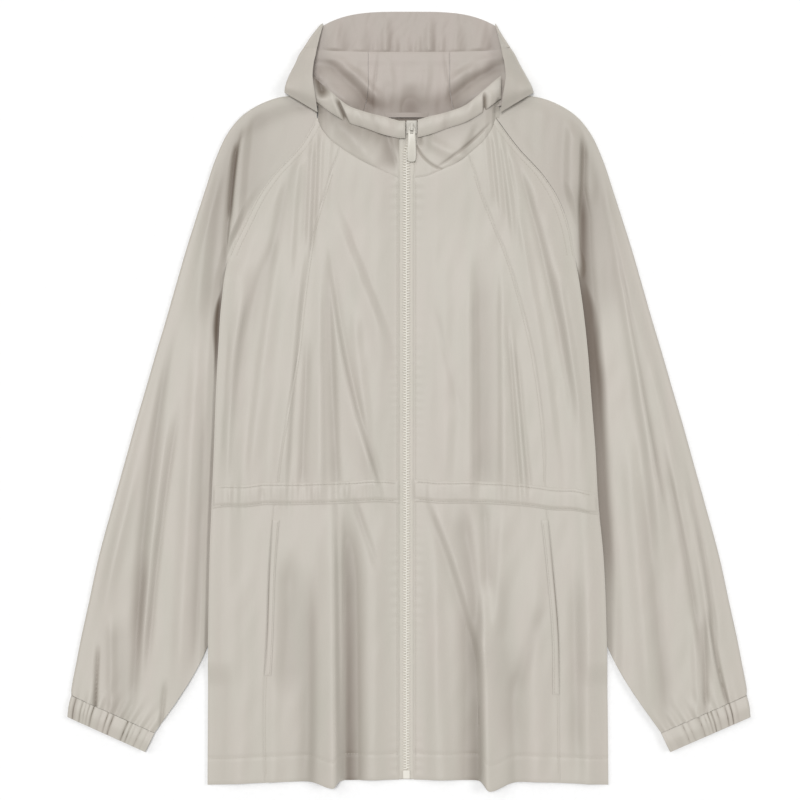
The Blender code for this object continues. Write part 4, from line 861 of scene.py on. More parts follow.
def folded_section(top, floor, thick):
    """Rows of a folded cloth: over the top, a half ellipse round the fold, and back along the floor."""
    out = top[:, -1, :2] - top[:, 0, :2]
    out = np.dstack([(out / np.linalg.norm(out, axis=1, keepdims=True))[:, None], np.zeros((len(out), 1, 1))])
    centre = (top[:, -1] + floor[:, 0])[:, None] / 2
    half_height = ((top[:, -1, 2] - floor[:, 0, 2]) / 2)[:, None, None]
    angles = np.linspace(math.pi / 2, -math.pi / 2, TURN_POINTS + 2)[None, 1:-1, None]
    sideways, upright = out * np.cos(angles), UP * np.sin(angles)
    turn = centre + TURN_OUT * sideways + half_height * upright
    inner_turn = centre + (TURN_OUT - thick) * sideways + (half_height - thick) * upright
    outer = np.concatenate([top, turn, floor], axis=1)
    inner = np.concatenate([top - UP * thick, inner_turn, floor + UP * thick], axis=1)
    return outer, inner


def across_tube(start, end, shares):
    """Plan points from one edge to just short of the fold, a row for each section."""
    width = np.linalg.norm(end - start, axis=1)[:, None, None]
    reach = start[:, None] + (end - start)[:, None] * (1 - TURN_OUT / width)
    return start[:, None] + (reach - start[:, None]) * shares[None, :, None]


def sleeve_lines(side, at):
    """Inner and outer plan lines of a sleeve, read between the table's rows."""
    keys = np.arange(len(SLEEVE))
    in_y, past, out_x, out_y = (smooth(keys, column(SLEEVE, name), at) for name in SleeveRow._fields)
    inner = np.stack([body_line("edge", side, in_y) + side * past, in_y], axis=1)
    return inner, np.stack([side * out_x, out_y], axis=1)


def sleeve(side):
    """Height: that of the body at the seam, up to the free cloth, down again to the fold, plus creases. Shade
    is painted in troughs, in the valley beside the body and over the shoulder.
    """
    inner, outer = sleeve_lines(side, np.linspace(0, len(SLEEVE) - 1, SLEEVE_ROWS))
    shares = even_ends(SLEEVE_COLUMNS, SLEEVE_CLOSENESS)
    plan = across_tube(inner, outer, shares)
    x, y = plan[..., 0], plan[..., 1]
    edge_y = inner[:, 1]
    at_seam, _ = front_field(side, body_line("edge", side, edge_y), edge_y)
    seen = step_up((edge_y - SLEEVE_HIDDEN_FROM) / SLEEVE_WINDOW_FADE)
    seam_height = SLEEVE_HIDDEN_HEIGHT + (at_seam + BODY_CLOTH * SEAM_THIN - SLEEVE_HIDDEN_HEIGHT) * seen
    outside = side * (x - body_line("edge", side, y))
    creases, painted_shade = crease_field(SLEEVE_CREASES[side], x, y)
    width = np.linalg.norm(outer - inner, axis=1)[:, None]
    below_end = np.linalg.norm(plan - plan[-1:], axis=-1)
    gathers = 0.5 - 0.5 * np.cos(2 * math.pi * CUFF_GATHERS * shares)[None]
    gathers = gathers * np.clip(1 - below_end / CUFF_GATHER_REACH, 0, 1) ** 2
    free = SLEEVE_HEIGHT + creases + ripples(x, y) + CUFF_GATHER_HEIGHT * gathers
    valley = VALLEYS[side]
    rise = step_up((outside - valley.start) / valley.rise)
    z = seam_height[:, None] + (free - seam_height[:, None]) * rise
    fold = step_up((1 - shares)[None] * width / SLEEVE_RISE_WIDTH)
    z = SLEEVE_FOLD_HEIGHT + (z - SLEEVE_FOLD_HEIGHT) * fold
    z = np.maximum(z, SLEEVE_HIDDEN_HEIGHT)
    flat = across_tube(inner, outer, np.linspace(1, 0, SLEEVE_FLOOR_COLUMNS))
    floor = np.dstack([flat, np.zeros(flat.shape[:2])])
    # Painted shade for each point, on the upper side only.
    depth = np.zeros((SLEEVE_ROWS, SLEEVE_COLUMNS + TURN_POINTS + SLEEVE_FLOOR_COLUMNS))
    levels = column(VALLEY_ROWS, "y")
    valley_depth = smooth(levels, column(VALLEY_ROWS, SIDE_NAMES[side]), y)
    valley_wide = smooth(levels, column(VALLEY_ROWS, f"{SIDE_NAMES[side]}_wide"), y)
    past_valley = step_up((outside / valley_wide - VALLEY_FLAT) / VALLEY_FADE)
    valley_shade = valley_depth * (1 - past_valley) * (1 - seen[:, None])
    shade = SHOULDER_SHADE * step_up((y - SHOULDER_FROM) / SHOULDER_FADE)
    depth[:, :SLEEVE_COLUMNS] = np.maximum(painted_shade / SLEEVE_HOLLOW_FULL, valley_shade) * fold + shade
    outer_grid, inner_grid = folded_section(np.dstack([plan, z]), floor, SLEEVE_CLOTH)
    return cloth(f"sleeve_{SIDE_NAMES[side]}", outer_grid, inner_grid, depth)


for side in (LEFT, RIGHT):
    print(SIDE_NAMES[side], "sleeve:", len(sleeve(side).data.polygons), "faces")

# %% [markdown]
# ## Cuffs
# Elastic inside the cuff draws it in, and the cloth stands up in narrow uneven pleats. A wave across the cuff
# does that. Its phase and height wander from pleat to pleat, because real gathers are never even.

# %% Cuffs
CuffRow = namedtuple("CuffRow", "below draw_in draw_out height pleat")
CUFF = (
    CuffRow(0.4, 0.0, 0.0, 4.6, 1.6),
    CuffRow(12.5, 0.3, 2.2, 5.4, 2.0),
    CuffRow(24.5, 0.8, 6.0, 4.4, 1.8),
)
CUFF_ROWS, CUFF_COLUMNS, CUFF_PLEATS = 29, 221, 13
CUFF_SHARPNESS, CUFF_SLANT, CUFF_PLEAT_SHADE, CUFF_PLEAT_DROP = 4.4, -0.5, 1.0, 1.3
CUFF_CALM, CUFF_LEAST = 0.3, 0.15
CUFF_LEVEL, CUFF_SWING, CUFF_SWING_TURNS, CUFF_SWING_SHIFT = 0.62, 0.38, 31.0, 2.0
Wander = namedtuple("Wander", "height turns shift")
CUFF_WANDER = (Wander(1.7, 9.0, 1.0), Wander(1.02, 23.0, 0.0))


def cuff(side):
    """Height: the table's, plus a pleat cut by 1 - |sin|^(1/sharpness), whose phase wanders. Painted shade
    darkens the sunk part of each pleat.
    """
    keys = np.arange(len(CUFF))
    at = np.linspace(0, len(CUFF) - 1, CUFF_ROWS)
    below, draw_in, draw_out, height, pleat = (smooth(keys, column(CUFF, n), at) for n in CuffRow._fields)
    inner, outer = (line[0] for line in sleeve_lines(side, np.array([len(SLEEVE) - 1.0])))
    along = (outer - inner) / np.linalg.norm(outer - inner)
    down = side * np.array([along[1], -along[0]])
    start = inner + down * below[:, None] + along * draw_in[:, None]
    end = outer + down * below[:, None] - along * draw_out[:, None]
    shares = np.linspace(0, 1, CUFF_COLUMNS)
    plan = across_tube(start, end, shares)
    wander = sum(row.height * np.sin(row.turns * shares + row.shift * side) for row in CUFF_WANDER)
    slant = CUFF_SLANT * (1 - shares)[None] * (below / below[-1])[:, None]
    wave = np.abs(np.sin(math.pi * CUFF_PLEATS * shares[None] + wander[None] + slant))
    ridge = wave ** (1 / CUFF_SHARPNESS)
    swing = CUFF_LEVEL + CUFF_SWING * np.sin(CUFF_SWING_TURNS * shares + CUFF_SWING_SHIFT * side)
    strength = swing * (CUFF_LEAST + (1 - CUFF_LEAST) * step_up(shares / CUFF_CALM))
    sunk = (1 - ridge) * strength[None]
    z = height[:, None] + pleat[:, None] * (1 - CUFF_PLEAT_DROP * sunk)
    flat = across_tube(start, end, np.linspace(1, 0, SLEEVE_FLOOR_COLUMNS))
    floor = np.dstack([flat, np.zeros(flat.shape[:2])])
    depth = np.zeros((CUFF_ROWS, CUFF_COLUMNS + TURN_POINTS + SLEEVE_FLOOR_COLUMNS))
    depth[:, :CUFF_COLUMNS] = CUFF_PLEAT_SHADE * sunk
    outer_grid, inner_grid = folded_section(np.dstack([plan, z]), floor, SLEEVE_CLOTH)
    return cloth(f"cuff_{SIDE_NAMES[side]}", outer_grid, inner_grid, depth)


for side in (LEFT, RIGHT):
    cuff(side)
print("cuffs made")

# %% [markdown]
# ## The hood
# The hood lies open, face up. Each side runs from the open edge over the top to an outer fold and back under
# to a strip behind the neck, and a brim closes the top. The table gives a few sections, the code reads
# a smooth surface through them.

# %% Hood tables
HoodRow = namedtuple(
    "HoodRow",
    "open_x open_y open_z fold_x right_in fold_y fold_z fold_height mid_x mid_y mid_z seam_x seam_y seam_z",
)
HOOD = (
    HoodRow(104.5, 330.0, 17, 143, 0.0, 353.5, 7.4, 4, 104, 338, 7.4, 56, 325.4, 0),
    HoodRow(107.0, 348.0, 25, 142, 1.5, 361.0, 6.4, 8, 100, 350, 4.8, 50, 341.0, 0),
    HoodRow(110.0, 369.0, 26, 138, 3.5, 373.0, 2.0, 10, 96, 366, 0.0, 47, 360.0, 0),
    HoodRow(109.0, 385.0, 22, 131, 4.0, 387.0, 0.0, 9, 92, 384, 0.0, 47, 380.0, 0),
    HoodRow(107.0, 395.0, 18, 126.5, 4.6, 397.0, 1.9, 7.5, 90, 393, 1.9, 47, 392.0, 1.9),
    HoodRow(105.5, 403.5, 15, 121, 4.6, 405.5, 2.2, 6, 88, 402, 2.2, 47, 401.0, 2.2),
)
BrimRow = namedtuple("BrimRow", "open_x open_y open_z fold_x right_in fold_y fold_height centre_y arc")
BRIM = (
    BrimRow(105.5, 403.56, 15.0, 121.0, 4.6, 405.56, 6.0, 397.0, 3.0),
    BrimRow(102.5, 417.0, 10.0, 112.0, 4.5, 419.0, 5.2, 422.0, 3.4),
    BrimRow(99.0, 430.0, 5.2, 102.0, 0.0, 431.0, 4.2, 447.3, 3.6),
)
INSIDE_CREASES = (
    Crease(326, 50, 388, 112, 3, 7, 8, 3.4, 3.4, -0.3),
    Crease(318, 54, 378, 114, 3, 6.5, 7.5, -1.9, -2.2, 0),
    Crease(306, 66, 366, 124, 3, 7, 7, 2.4, 2.4, 0.2),
    Crease(508, 48, 444, 92, -4.5, 7, 8, 3.4, 3.4, 0.3),
    Crease(510, 62, 442, 106, -4.5, 5.5, 6.5, -2.0, -2.3, 0),
    Crease(508, 78, 450, 118, -4, 7, 7, 2.4, 2.4, 0),
    Crease(318, 112, 502, 110, 4, 14, 14, -2.2, -2.2, 0),
    Crease(411, 80, 411, 130, 0, 9, 11, -0.9, -1.6, 0),
    Crease(379, 44, 371, 116, 0, 1.8, 1.8, -0.7, -0.7, 0),
    Crease(442, 44, 452, 116, 0, 1.8, 1.8, -0.7, -0.7, 0),
    Crease(385, 46, 392, 90, 0, 5, 7, 1.2, 0.7, -0.3),
    Crease(428, 46, 424, 94, 0, 5, 7, 1.2, 0.7, 0.3),
    Crease(350, 44, 356, 70, 0, 5, 6, 1.0, 0.7, 0),
    Crease(466, 44, 460, 70, 0, 5, 6, 1.0, 0.7, 0),
)
INSIDE_HOLLOW_FULL, INSIDE_RIPPLE, INSIDE_FINER, INSIDE_LOFT = 4.9, 1.3, (1.6, 1.4), 2.6
HOOD_SHADE = {LEFT: 0.0, RIGHT: 0.07}
HOOD_ROWS, HOOD_TOP_COLUMNS, HOOD_UNDER_COLUMNS = 91, 36, 30
HOOD_SWELL, HOOD_FINER, INSIDE_CALM, JOIN_CALM = 1.2, 1.7, 20.0, 28.0
NAPE_COLUMNS, BRIM_ROWS, BRIM_COLUMNS, BRIM_END_COLUMNS, BRIM_CALM = 91, 45, 61, 12, 12.0


# %% Hood sides
def hood_rows(at):
    """All columns of the hood's table read at the given sections, with nothing below the floor."""
    keys = np.arange(len(HOOD))
    row = HoodRow(*(smooth(keys, column(HOOD, name), at) for name in HoodRow._fields))
    lowest = {name: np.maximum(getattr(row, name), 0) for name in ("fold_z", "mid_z", "seam_z")}
    return row._replace(**lowest)


def run_between(start, end, count, skip_first=False):
    """Straight runs of points from one line to another, a row for each section."""
    shares = np.linspace(0, 1, count)[1:] if skip_first else np.linspace(0, 1, count)
    return start[:, None] + (end - start)[:, None] * shares[None, :, None]


def fold_line(row, side):
    """x of the outer fold, which lies further in on the right."""
    return side * (row.fold_x - (row.right_in if side == RIGHT else 0))


def inside_field(x, y):
    """Ridges of the hood's inner side, which never dips below the floor, and the painted shade of its
    troughs.
    """
    creases, painted_shade = crease_field(INSIDE_CREASES, x, y)
    wrinkles = INSIDE_RIPPLE * ripples(INSIDE_FINER[0] * x, INSIDE_FINER[1] * y)
    return np.maximum(INSIDE_LOFT + creases + wrinkles, 0), painted_shade / INSIDE_HOLLOW_FULL


def hood_side(side):
    """Open edge, outer fold, middle line and nape seam, joined by straight runs and swelled a little."""
    row = hood_rows(np.linspace(0, len(HOOD) - 1, HOOD_ROWS))
    open_edge = np.stack([side * row.open_x, row.open_y, row.open_z], axis=1)
    fold = np.stack([fold_line(row, side), row.fold_y, row.fold_z], axis=1)
    inward = (open_edge - fold)[:, :2]
    fold[:, :2] += inward / np.linalg.norm(inward, axis=1, keepdims=True) * TURN_OUT
    over = fold + row.fold_height[:, None] * UP
    middle = np.stack([side * row.mid_x, row.mid_y, row.mid_z], axis=1)
    seam = np.stack([side * row.seam_x, row.seam_y, row.seam_z], axis=1)
    top = run_between(open_edge, over, HOOD_TOP_COLUMNS)
    share = np.linspace(0, 1, HOOD_TOP_COLUMNS)[None]
    top[..., 2] += HOOD_SWELL * np.sin(math.pi * share) + ripples(HOOD_FINER * top[..., 0], top[..., 1])
    under = [run_between(fold, middle, HOOD_UNDER_COLUMNS)]
    under.append(run_between(middle, seam, HOOD_UNDER_COLUMNS, skip_first=True))
    under = np.concatenate(under, axis=1)
    ridges, painted_shade = inside_field(under[..., 0], under[..., 1])
    from_fold = np.abs(under[..., 0] - fold[:, :1])
    below_brim = under[-1:, :, 1] - under[..., 1]
    under[..., 2] += ridges * step_up(from_fold / INSIDE_CALM) * step_up(below_brim / JOIN_CALM)
    outer, inner = folded_section(top, under, HOOD_CLOTH)
    # Painted shade: the right side's top drawn a little darker, and the inner side darkened in its troughs.
    depth = np.zeros(outer.shape[:2])
    depth[:, :HOOD_TOP_COLUMNS] = HOOD_SHADE[side]
    depth[:, -under.shape[1] :] = painted_shade
    return cloth(f"hood_side_{SIDE_NAMES[side]}", outer, inner, depth, lined=True)


for side in (LEFT, RIGHT):
    hood_side(side)
print("hood sides made")

# %% [markdown]
# ## Nape strip and brim
# These are the parts of the hood that show from inside, a little warmer in colour. The brim is gathered
# where it meets the strip, so its lower edge gets small puckers that die out upwards.

# %% Nape and brim
BrimPucker = namedtuple("BrimPucker", "x width height reach")
BRIM_PUCKERS = (
    BrimPucker(-84, 10, 2.2, 0.95),
    BrimPucker(-56, 8, 2.0, 0.7),
    BrimPucker(-38, 4, 2.0, 0.5),
    BrimPucker(-27, 5, 3.6, 0.9),
    BrimPucker(-16, 3.5, 2.2, 0.5),
    BrimPucker(-3, 4, 1.8, 0.45),
    BrimPucker(11, 3.5, 2.2, 0.5),
    BrimPucker(23, 5, 3.6, 0.9),
    BrimPucker(37, 4, 2.0, 0.6),
    BrimPucker(54, 7, 2.2, 0.75),
    BrimPucker(80, 10, 2.0, 0.95),
)
BRIM_SHADE, BRIM_RIPPLE, BRIM_FINER = 0.09, 2.0, (1.5, 2.0)
PUCKER_START, PUCKER_SHADE, PUCKER_SHADE_PAST, PUCKER_SHADE_NARROW = 0.15, 0.1, 1.1, 1.6


def hood_nape():
    """A strip between the hood sides, raised by the ridges inside the hood, which die out below the brim."""
    row = hood_rows(np.linspace(0, len(HOOD) - 1, HOOD_ROWS))
    across = np.linspace(-1, 1, NAPE_COLUMNS)[None]
    x = (row.seam_x - SEAM_GAP)[:, None] * across
    y = np.broadcast_to(row.seam_y[:, None], x.shape)
    z = np.broadcast_to(row.seam_z[:, None], x.shape)
    under = np.dstack([x, y, z])
    ridges, painted_shade = inside_field(x, y)
    under = lifted(under, ridges * step_up((y[-1:] - y) / JOIN_CALM))
    outer = lifted(under, HOOD_CLOTH * edge_taper(under))
    # The nape's colour takes the painted shade of the hood's inner troughs.
    return cloth("hood_nape", outer, under, painted_shade, slot="inner_cloth")


def brim_half(row, side):
    """Sections from the open edge round the fold and in to the middle, the floor bowed by a power of x."""
    open_edge = np.stack([side * row.open_x, row.open_y, row.open_z], axis=1)
    fold_x = fold_line(row, side) - side * TURN_OUT
    fold = np.stack([fold_x, row.fold_y, np.zeros(len(fold_x))], axis=1)
    over = fold + row.fold_height[:, None] * UP
    x = fold[:, :1] * np.linspace(1, 0, BRIM_COLUMNS)[None]
    bow = np.abs(x / fold[:, :1]) ** row.arc[:, None]
    y = row.centre_y[:, None] + (row.fold_y - row.centre_y)[:, None] * bow
    top = run_between(open_edge, over, BRIM_END_COLUMNS)
    return folded_section(top, np.dstack([x, y, np.zeros(x.shape)]), HOOD_CLOTH)


def hood_brim():
    """Both halves side by side, with puckers on the inner side that die out towards the top."""
    keys = np.arange(len(BRIM))
    at = np.linspace(0, len(BRIM) - 1, BRIM_ROWS)
    row = BrimRow(*(smooth(keys, column(BRIM, name), at) for name in BrimRow._fields))
    halves = zip(brim_half(row, LEFT), brim_half(row, RIGHT))
    outer, inner = (np.concatenate([left, right[:, -2::-1]], axis=1) for left, right in halves)
    share = np.linspace(0, 1, BRIM_ROWS)[:, None]
    lies_flat = step_up((row.open_x[:, None] - np.abs(inner[..., 0])) / BRIM_CALM)
    shade = BRIM_SHADE * lies_flat
    for pucker in BRIM_PUCKERS:
        across = (inner[..., 0] - pucker.x) / pucker.width
        fade = lies_flat * step_up(share / PUCKER_START) * np.clip(1 - share / pucker.reach, 0, 1)
        inner[..., 2] += pucker.height * fade * np.exp(-(across**2))
        beside = PUCKER_SHADE_NARROW * (across - PUCKER_SHADE_PAST)
        shade += PUCKER_SHADE * pucker.height * fade * np.exp(-(beside**2))
    finer = ripples(BRIM_FINER[0] * inner[..., 0], BRIM_FINER[1] * inner[..., 1])
    inner[..., 2] += BRIM_RIPPLE * np.abs(finer) * lies_flat
    return cloth("hood_brim", outer, inner, shade, slot="inner_cloth", lined=True)


hood_nape()
hood_brim()
print("nape strip and brim made")

# %% [markdown]
# ## Hood front ends and collar
# From each side of the hood a band runs to the zip, and below it stands the collar. Both are strips between
# two curves, bulged like a soft roll. A few creases across the band are where it is gathered at the corner.

# %% Bands and collar
FrontEndRow = namedtuple("FrontEndRow", "from_zip low_y high_y low_z high_z")
FRONT_END = (
    FrontEndRow(8.5, 301.0, 321.0, 10.6, 12.0),
    FrontEndRow(24.6, 304.6, 325.3, 11.6, 13.6),
    FrontEndRow(47.6, 312.6, 331.0, 12.8, 15.4),
    FrontEndRow(68.3, 319.5, 339.0, 14.0, 16.6),
    FrontEndRow(88.0, 331.0, 355.0, 15.2, 17.4),
    FrontEndRow(101.7, 341.3, 367.0, 15.8, 17.2),
    FrontEndRow(108.0, 346.0, 372.0, 16.0, 16.8),
)
BAND_CREASES = {
    LEFT: (
        Crease(336.5, 98, 351, 131, 0, 2, 2, -4.0, -5.0, -0.4),
        Crease(312, 60, 325, 102, 0, 7, 6, -5.5, -5.5, 0.2),
        Crease(330, 84, 341, 126, 0, 4, 5, 1.2, 1.2, 0),
        Crease(357, 104, 366, 140, 0, 4, 4, 0.8, 0.8, 0),
        Crease(386, 108, 392, 146, 0, 4, 5, 0.8, 0.8, 0),
        Crease(372, 106, 379, 140, 0, 3, 4, -0.7, -0.7, 0),
    ),
    RIGHT: (
        Crease(483.6, 92, 484.3, 130, 0, 1.6, 1.8, -3.5, -5.0, 0.3),
        Crease(490, 90, 489.5, 130, 0, 3, 3, 1.4, 1.4, 0),
        Crease(499, 98, 494.5, 132, 0, 1.8, 2.2, -3.5, -5.0, 0),
        Crease(472, 92, 466, 140, 0, 5, 5, 1.0, 1.0, 0),
        Crease(432, 104, 428, 146, 0, 5, 6, 0.9, 0.9, 0),
        Crease(448, 100, 444, 140, 0, 3, 4, -0.7, -0.7, 0),
    ),
}
COLLAR_CREASES = {
    LEFT: (
        Crease(378, 112, 397, 174, 0, 9, 7, -2.0, -1.6, -0.65),
        Crease(336, 122, 380, 170, 0, 8, 8, 1.4, 1.4, 0),
    ),
    RIGHT: (
        Crease(414, 140, 448, 172, -7, 1.2, 1.2, -1.5, -1.2, 0.2),
        Crease(417, 118, 421, 150, 0, 3, 2.5, -2.0, -1.4, 0),
        Crease(424, 138, 472, 160, -3, 7, 7, 2.0, 1.6, 0),
        Crease(494, 120, 434, 170, 2.5, 1.5, 1.5, -1.2, -1.2, 0),
        Crease(476, 124, 462, 160, 0, 5, 5, -0.9, -0.9, 0),
    ),
}
COLLAR_SHADE, COLLAR_SHADE_REACH = {LEFT: 0.46, RIGHT: 0.24}, 17.0
BAND_ROWS, BAND_COLUMNS, BAND_BULGE, BAND_FINER = 161, 33, 1.6, (1.5, 2.0)
COLLAR_ROWS, COLLAR_COLUMNS, COLLAR_BULGE, COLLAR_TUCK = 141, 49, 1.5, 5.0
BAND_HOLLOW_FULL, COLLAR_HOLLOW_FULL = 6.5, 3.6
BAND_FROM_ZIP = {LEFT: 1.4, RIGHT: 13.0}
COLLAR_FROM_ZIP = {LEFT: (8.5, 101.4), RIGHT: (8.5, 106.5)}
COLLAR_TOP_Z, COLLAR_LEAN = (8.8, 13.0), {LEFT: 0.0, RIGHT: 4.5}


def front_end_row(from_zip):
    keys = column(FRONT_END, "from_zip")
    return [smooth(keys, column(FRONT_END, name), from_zip)[:, None] for name in FrontEndRow._fields[1:]]


def creased_strip(node, x, y, z, creases, hollow_full, shade=0.0):
    """A strip with creases, one cloth thick, which hangs below its upper side. Its troughs are painted as
    shade, and shade gives the least of it.
    """
    dents, painted_shade = crease_field(creases, x, y)
    top = np.dstack([x, y, z + dents + ripples(BAND_FINER[0] * x, BAND_FINER[1] * y)])
    thin = BODY_CLOTH * edge_taper(top)
    under = lifted(top, -BODY_CLOTH)
    depth = np.maximum(painted_shade / hollow_full, shade)
    return cloth(node, lifted(under, thin), under, depth, rests_on=("back_panel_cloth",))


def hood_front(side):
    """Low curve to high curve, plus a half sine of bulge."""
    from_zip = np.linspace(BAND_FROM_ZIP[side], FRONT_END[-1].from_zip, BAND_ROWS)
    low_y, high_y, low_z, high_z = front_end_row(from_zip)
    part = np.linspace(0, 1, BAND_COLUMNS)[None]
    x = np.repeat((ZIP_X + side * from_zip)[:, None], BAND_COLUMNS, 1)
    y = low_y + (high_y - low_y) * part
    z = low_z + (high_z - low_z) * part + BAND_BULGE * np.sin(math.pi * part)
    return creased_strip(f"hood_front_{SIDE_NAMES[side]}", x, y, z, BAND_CREASES[side], BAND_HOLLOW_FULL)


def collar(side):
    """Neckline to the tuck under the band, plus a bulge that dies out at both ends."""
    from_zip = np.linspace(*COLLAR_FROM_ZIP[side], COLLAR_ROWS)
    share = ((from_zip - from_zip[0]) / (from_zip[-1] - from_zip[0]))[:, None]
    x = ZIP_X + side * from_zip
    neck_y = neck_line(side, from_zip)
    low_y = (neck_y + SEAM_SHOWN * np.hypot(1, np.gradient(neck_y, from_zip)))[:, None]
    high_y = front_end_row(from_zip)[0] + COLLAR_TUCK
    low_z = front_field(side, x, neck_y)[0][:, None] + BODY_CLOTH
    high_z = COLLAR_TOP_Z[0] + (COLLAR_TOP_Z[1] - COLLAR_TOP_Z[0]) * step_up(share)
    part = np.linspace(0, 1, COLLAR_COLUMNS)[None]
    z = low_z + (high_z - low_z) * part
    z = z + COLLAR_BULGE * np.sin(math.pi * part) * np.sin(math.pi * share)
    x = x[:, None] + side * COLLAR_LEAN[side] * part * (1 - share)
    y = low_y + (high_y - low_y) * part
    # Painted shade under the band, fading below its edge.
    below_band = np.minimum(y - high_y + COLLAR_TUCK, 0) / COLLAR_SHADE_REACH
    under_band = COLLAR_SHADE[side] * np.exp(-(below_band**2))
    creases = COLLAR_CREASES[side]
    return creased_strip(f"collar_{SIDE_NAMES[side]}", x, y, z, creases, COLLAR_HOLLOW_FULL, under_band)


for side in (LEFT, RIGHT):
    hood_front(side)
    collar(side)
print("bands and collar made")

# %% [markdown]
# ## Hanger loop and zip tapes
# Plain strips: the loop bows up in its middle, and the tapes follow the zip's rise to the collar.

# %% Loop and tapes
LOOP_X, LOOP_Y, LOOP_THICK, LOOP_FLOOR, LOOP_BOW = (-27.5, 22.0), (325.5, 331.0), 1.0, 1.8, 2.0
LOOP_GRID, LOOP_SHADE, TAPE_GRID = (41, 9), 0.3, (261, 15)
ZIP_BOTTOM_Y, ZIP_TOP_Y, CHAIN_HALF, CHAIN_THICK, CHAIN_GAP = -434.0, 320.0, 4.0, 2.8, 0.3


def hanger_loop():
    part = np.linspace(0, 1, LOOP_GRID[0])[:, None]
    x = np.broadcast_to(LOOP_X[0] + (LOOP_X[1] - LOOP_X[0]) * part, LOOP_GRID)
    y = np.broadcast_to(np.linspace(*LOOP_Y, LOOP_GRID[1])[None], LOOP_GRID)
    under = np.dstack([x, y, LOOP_FLOOR + LOOP_BOW * np.sin(math.pi * np.broadcast_to(part, LOOP_GRID))])
    return trim("hanger_loop", lifted(under, LOOP_THICK), under, "hood_nape", "inner_cloth", LOOP_SHADE)


def zip_tape(side):
    y = np.linspace(ZIP_BOTTOM_Y, ZIP_TOP_Y, TAPE_GRID[0])[:, None]
    x = zip_line(y) + side * np.linspace(CHAIN_GAP, TAPE_REACH, TAPE_GRID[1])[None]
    x, y = np.broadcast_arrays(x, y)
    under = np.dstack([x, y, ZIP_FLOOR + neck_rise(y)])
    node, outer = f"zip_tape_{SIDE_NAMES[side]}", lifted(under, TAPE_THICK)
    return cloth(node, outer, under, slot="zip_tape", rests_on=("back_panel_cloth",))


hanger_loop()
for side in (LEFT, RIGHT):
    zip_tape(side)
print("loop and tapes made")

# %% [markdown]
# ## Zip teeth
# A moulded zip has two rows of teeth that lock in turn. One tooth is a small superellipse block with a head
# that reaches past the middle. The same tooth is repeated by adding its points to an array of places, so all
# teeth of a side are one mesh without a loop.

# %% Teeth
TOOTH_PITCH, TOOTH_LONG, TOOTH_NECK, TOOTH_HEAD_PAST = 3.1, 2.3, 1.5, 0.9
TOOTH_HEAD_FROM, TOOTH_HEAD_TAPER = 1.2, 1.5
ToothRing = namedtuple("ToothRing", "height inset")
TOOTH_RINGS = (
    ToothRing(0.0, 0.86),
    ToothRing(0.25, 1.0),
    ToothRing(0.75, 1.0),
    ToothRing(0.93, 0.9),
    ToothRing(1.0, 0.62),
)
TOOTH_SIDES, TOOTH_CORNER = 12, 4


def superellipse(points, corner):
    """Cosine and sine round a circle, over (|cos|^corner + |sin|^corner)^(1/corner): a rounded square."""
    angle = np.linspace(0, 2 * math.pi, points, endpoint=False)
    square = (np.abs(np.cos(angle)) ** corner + np.abs(np.sin(angle)) ** corner) ** (-1 / corner)
    return np.cos(angle) * square, np.sin(angle) * square


def tooth_points():
    """Rings of a rounded outline: full at mid height, drawn in at the top, widest at the head."""
    lengthwise, sideways = superellipse(TOOTH_SIDES, TOOTH_CORNER)
    reach = CHAIN_HALF + TOOTH_HEAD_PAST
    along = lengthwise * reach / 2 + (reach / 2 - TOOTH_HEAD_PAST)
    head = step_up((TOOTH_HEAD_FROM - along) / TOOTH_HEAD_TAPER)
    across = sideways * (TOOTH_NECK / 2 + (TOOTH_LONG - TOOTH_NECK) / 2 * head)
    middle = along.mean()
    rings = []
    for ring in TOOTH_RINGS:
        height = np.full(TOOTH_SIDES, ring.height * CHAIN_THICK)
        rings.append(np.column_stack([middle + (along - middle) * ring.inset, across * ring.inset, height]))
    return np.concatenate(rings)


def ring_quads(rings, sides):
    """Quads between rings of points, and each end closed by a row of quads across its ring."""
    numbers = np.arange(rings * sides).reshape(rings, sides)
    walls = grid_quads(np.concatenate([numbers, numbers[:, :1]], axis=1))
    caps = []
    for ring in (numbers[0][::-1], numbers[-1]):
        caps += [(ring[i], ring[i + 1], ring[-2 - i], ring[-1 - i]) for i in range(sides // 2 - 1)]
    return np.concatenate([walls, np.array(caps)])


def zip_teeth(side, low, high):
    places = np.arange(low, high, TOOTH_PITCH) + (TOOTH_PITCH / 2 if side == RIGHT else 0)
    places = places[places < high - TOOTH_LONG / 2]
    middles = np.stack([zip_line(places), places, ZIP_FLOOR + neck_rise(places)], axis=1)
    points = (tooth_points() * [side, 1, 1])[None] + middles[:, None]
    piece = put_copies(f"zip_teeth_{SIDE_NAMES[side]}", points, ring_quads(len(TOOTH_RINGS), TOOTH_SIDES))
    print(SIDE_NAMES[side], "teeth:", len(places))
    return wear(piece, "zip_chain", "zip_teeth")


BOX_LENGTH, SLIDER_Y, SLIDER_LENGTH = 10.0, 314.0, 15.0
chain_low = ZIP_BOTTOM_Y + BOX_LENGTH + CHAIN_GAP + TOOTH_LONG / 2
chain_high = SLIDER_Y - SLIDER_LENGTH / 2 - CHAIN_GAP
teeth = [zip_teeth(side, chain_low, chain_high) for side in (LEFT, RIGHT)]

# %% [markdown]
# ## Pull tab
# The tab is a moulded plate with a window at its upper end and a rounded lower end. Seen in section it goes
# round and round: up the outer wall, in over the face, down through the window and back below. So the plate
# is a ring, a grid that closes in both directions, between its outline and its window's outline.

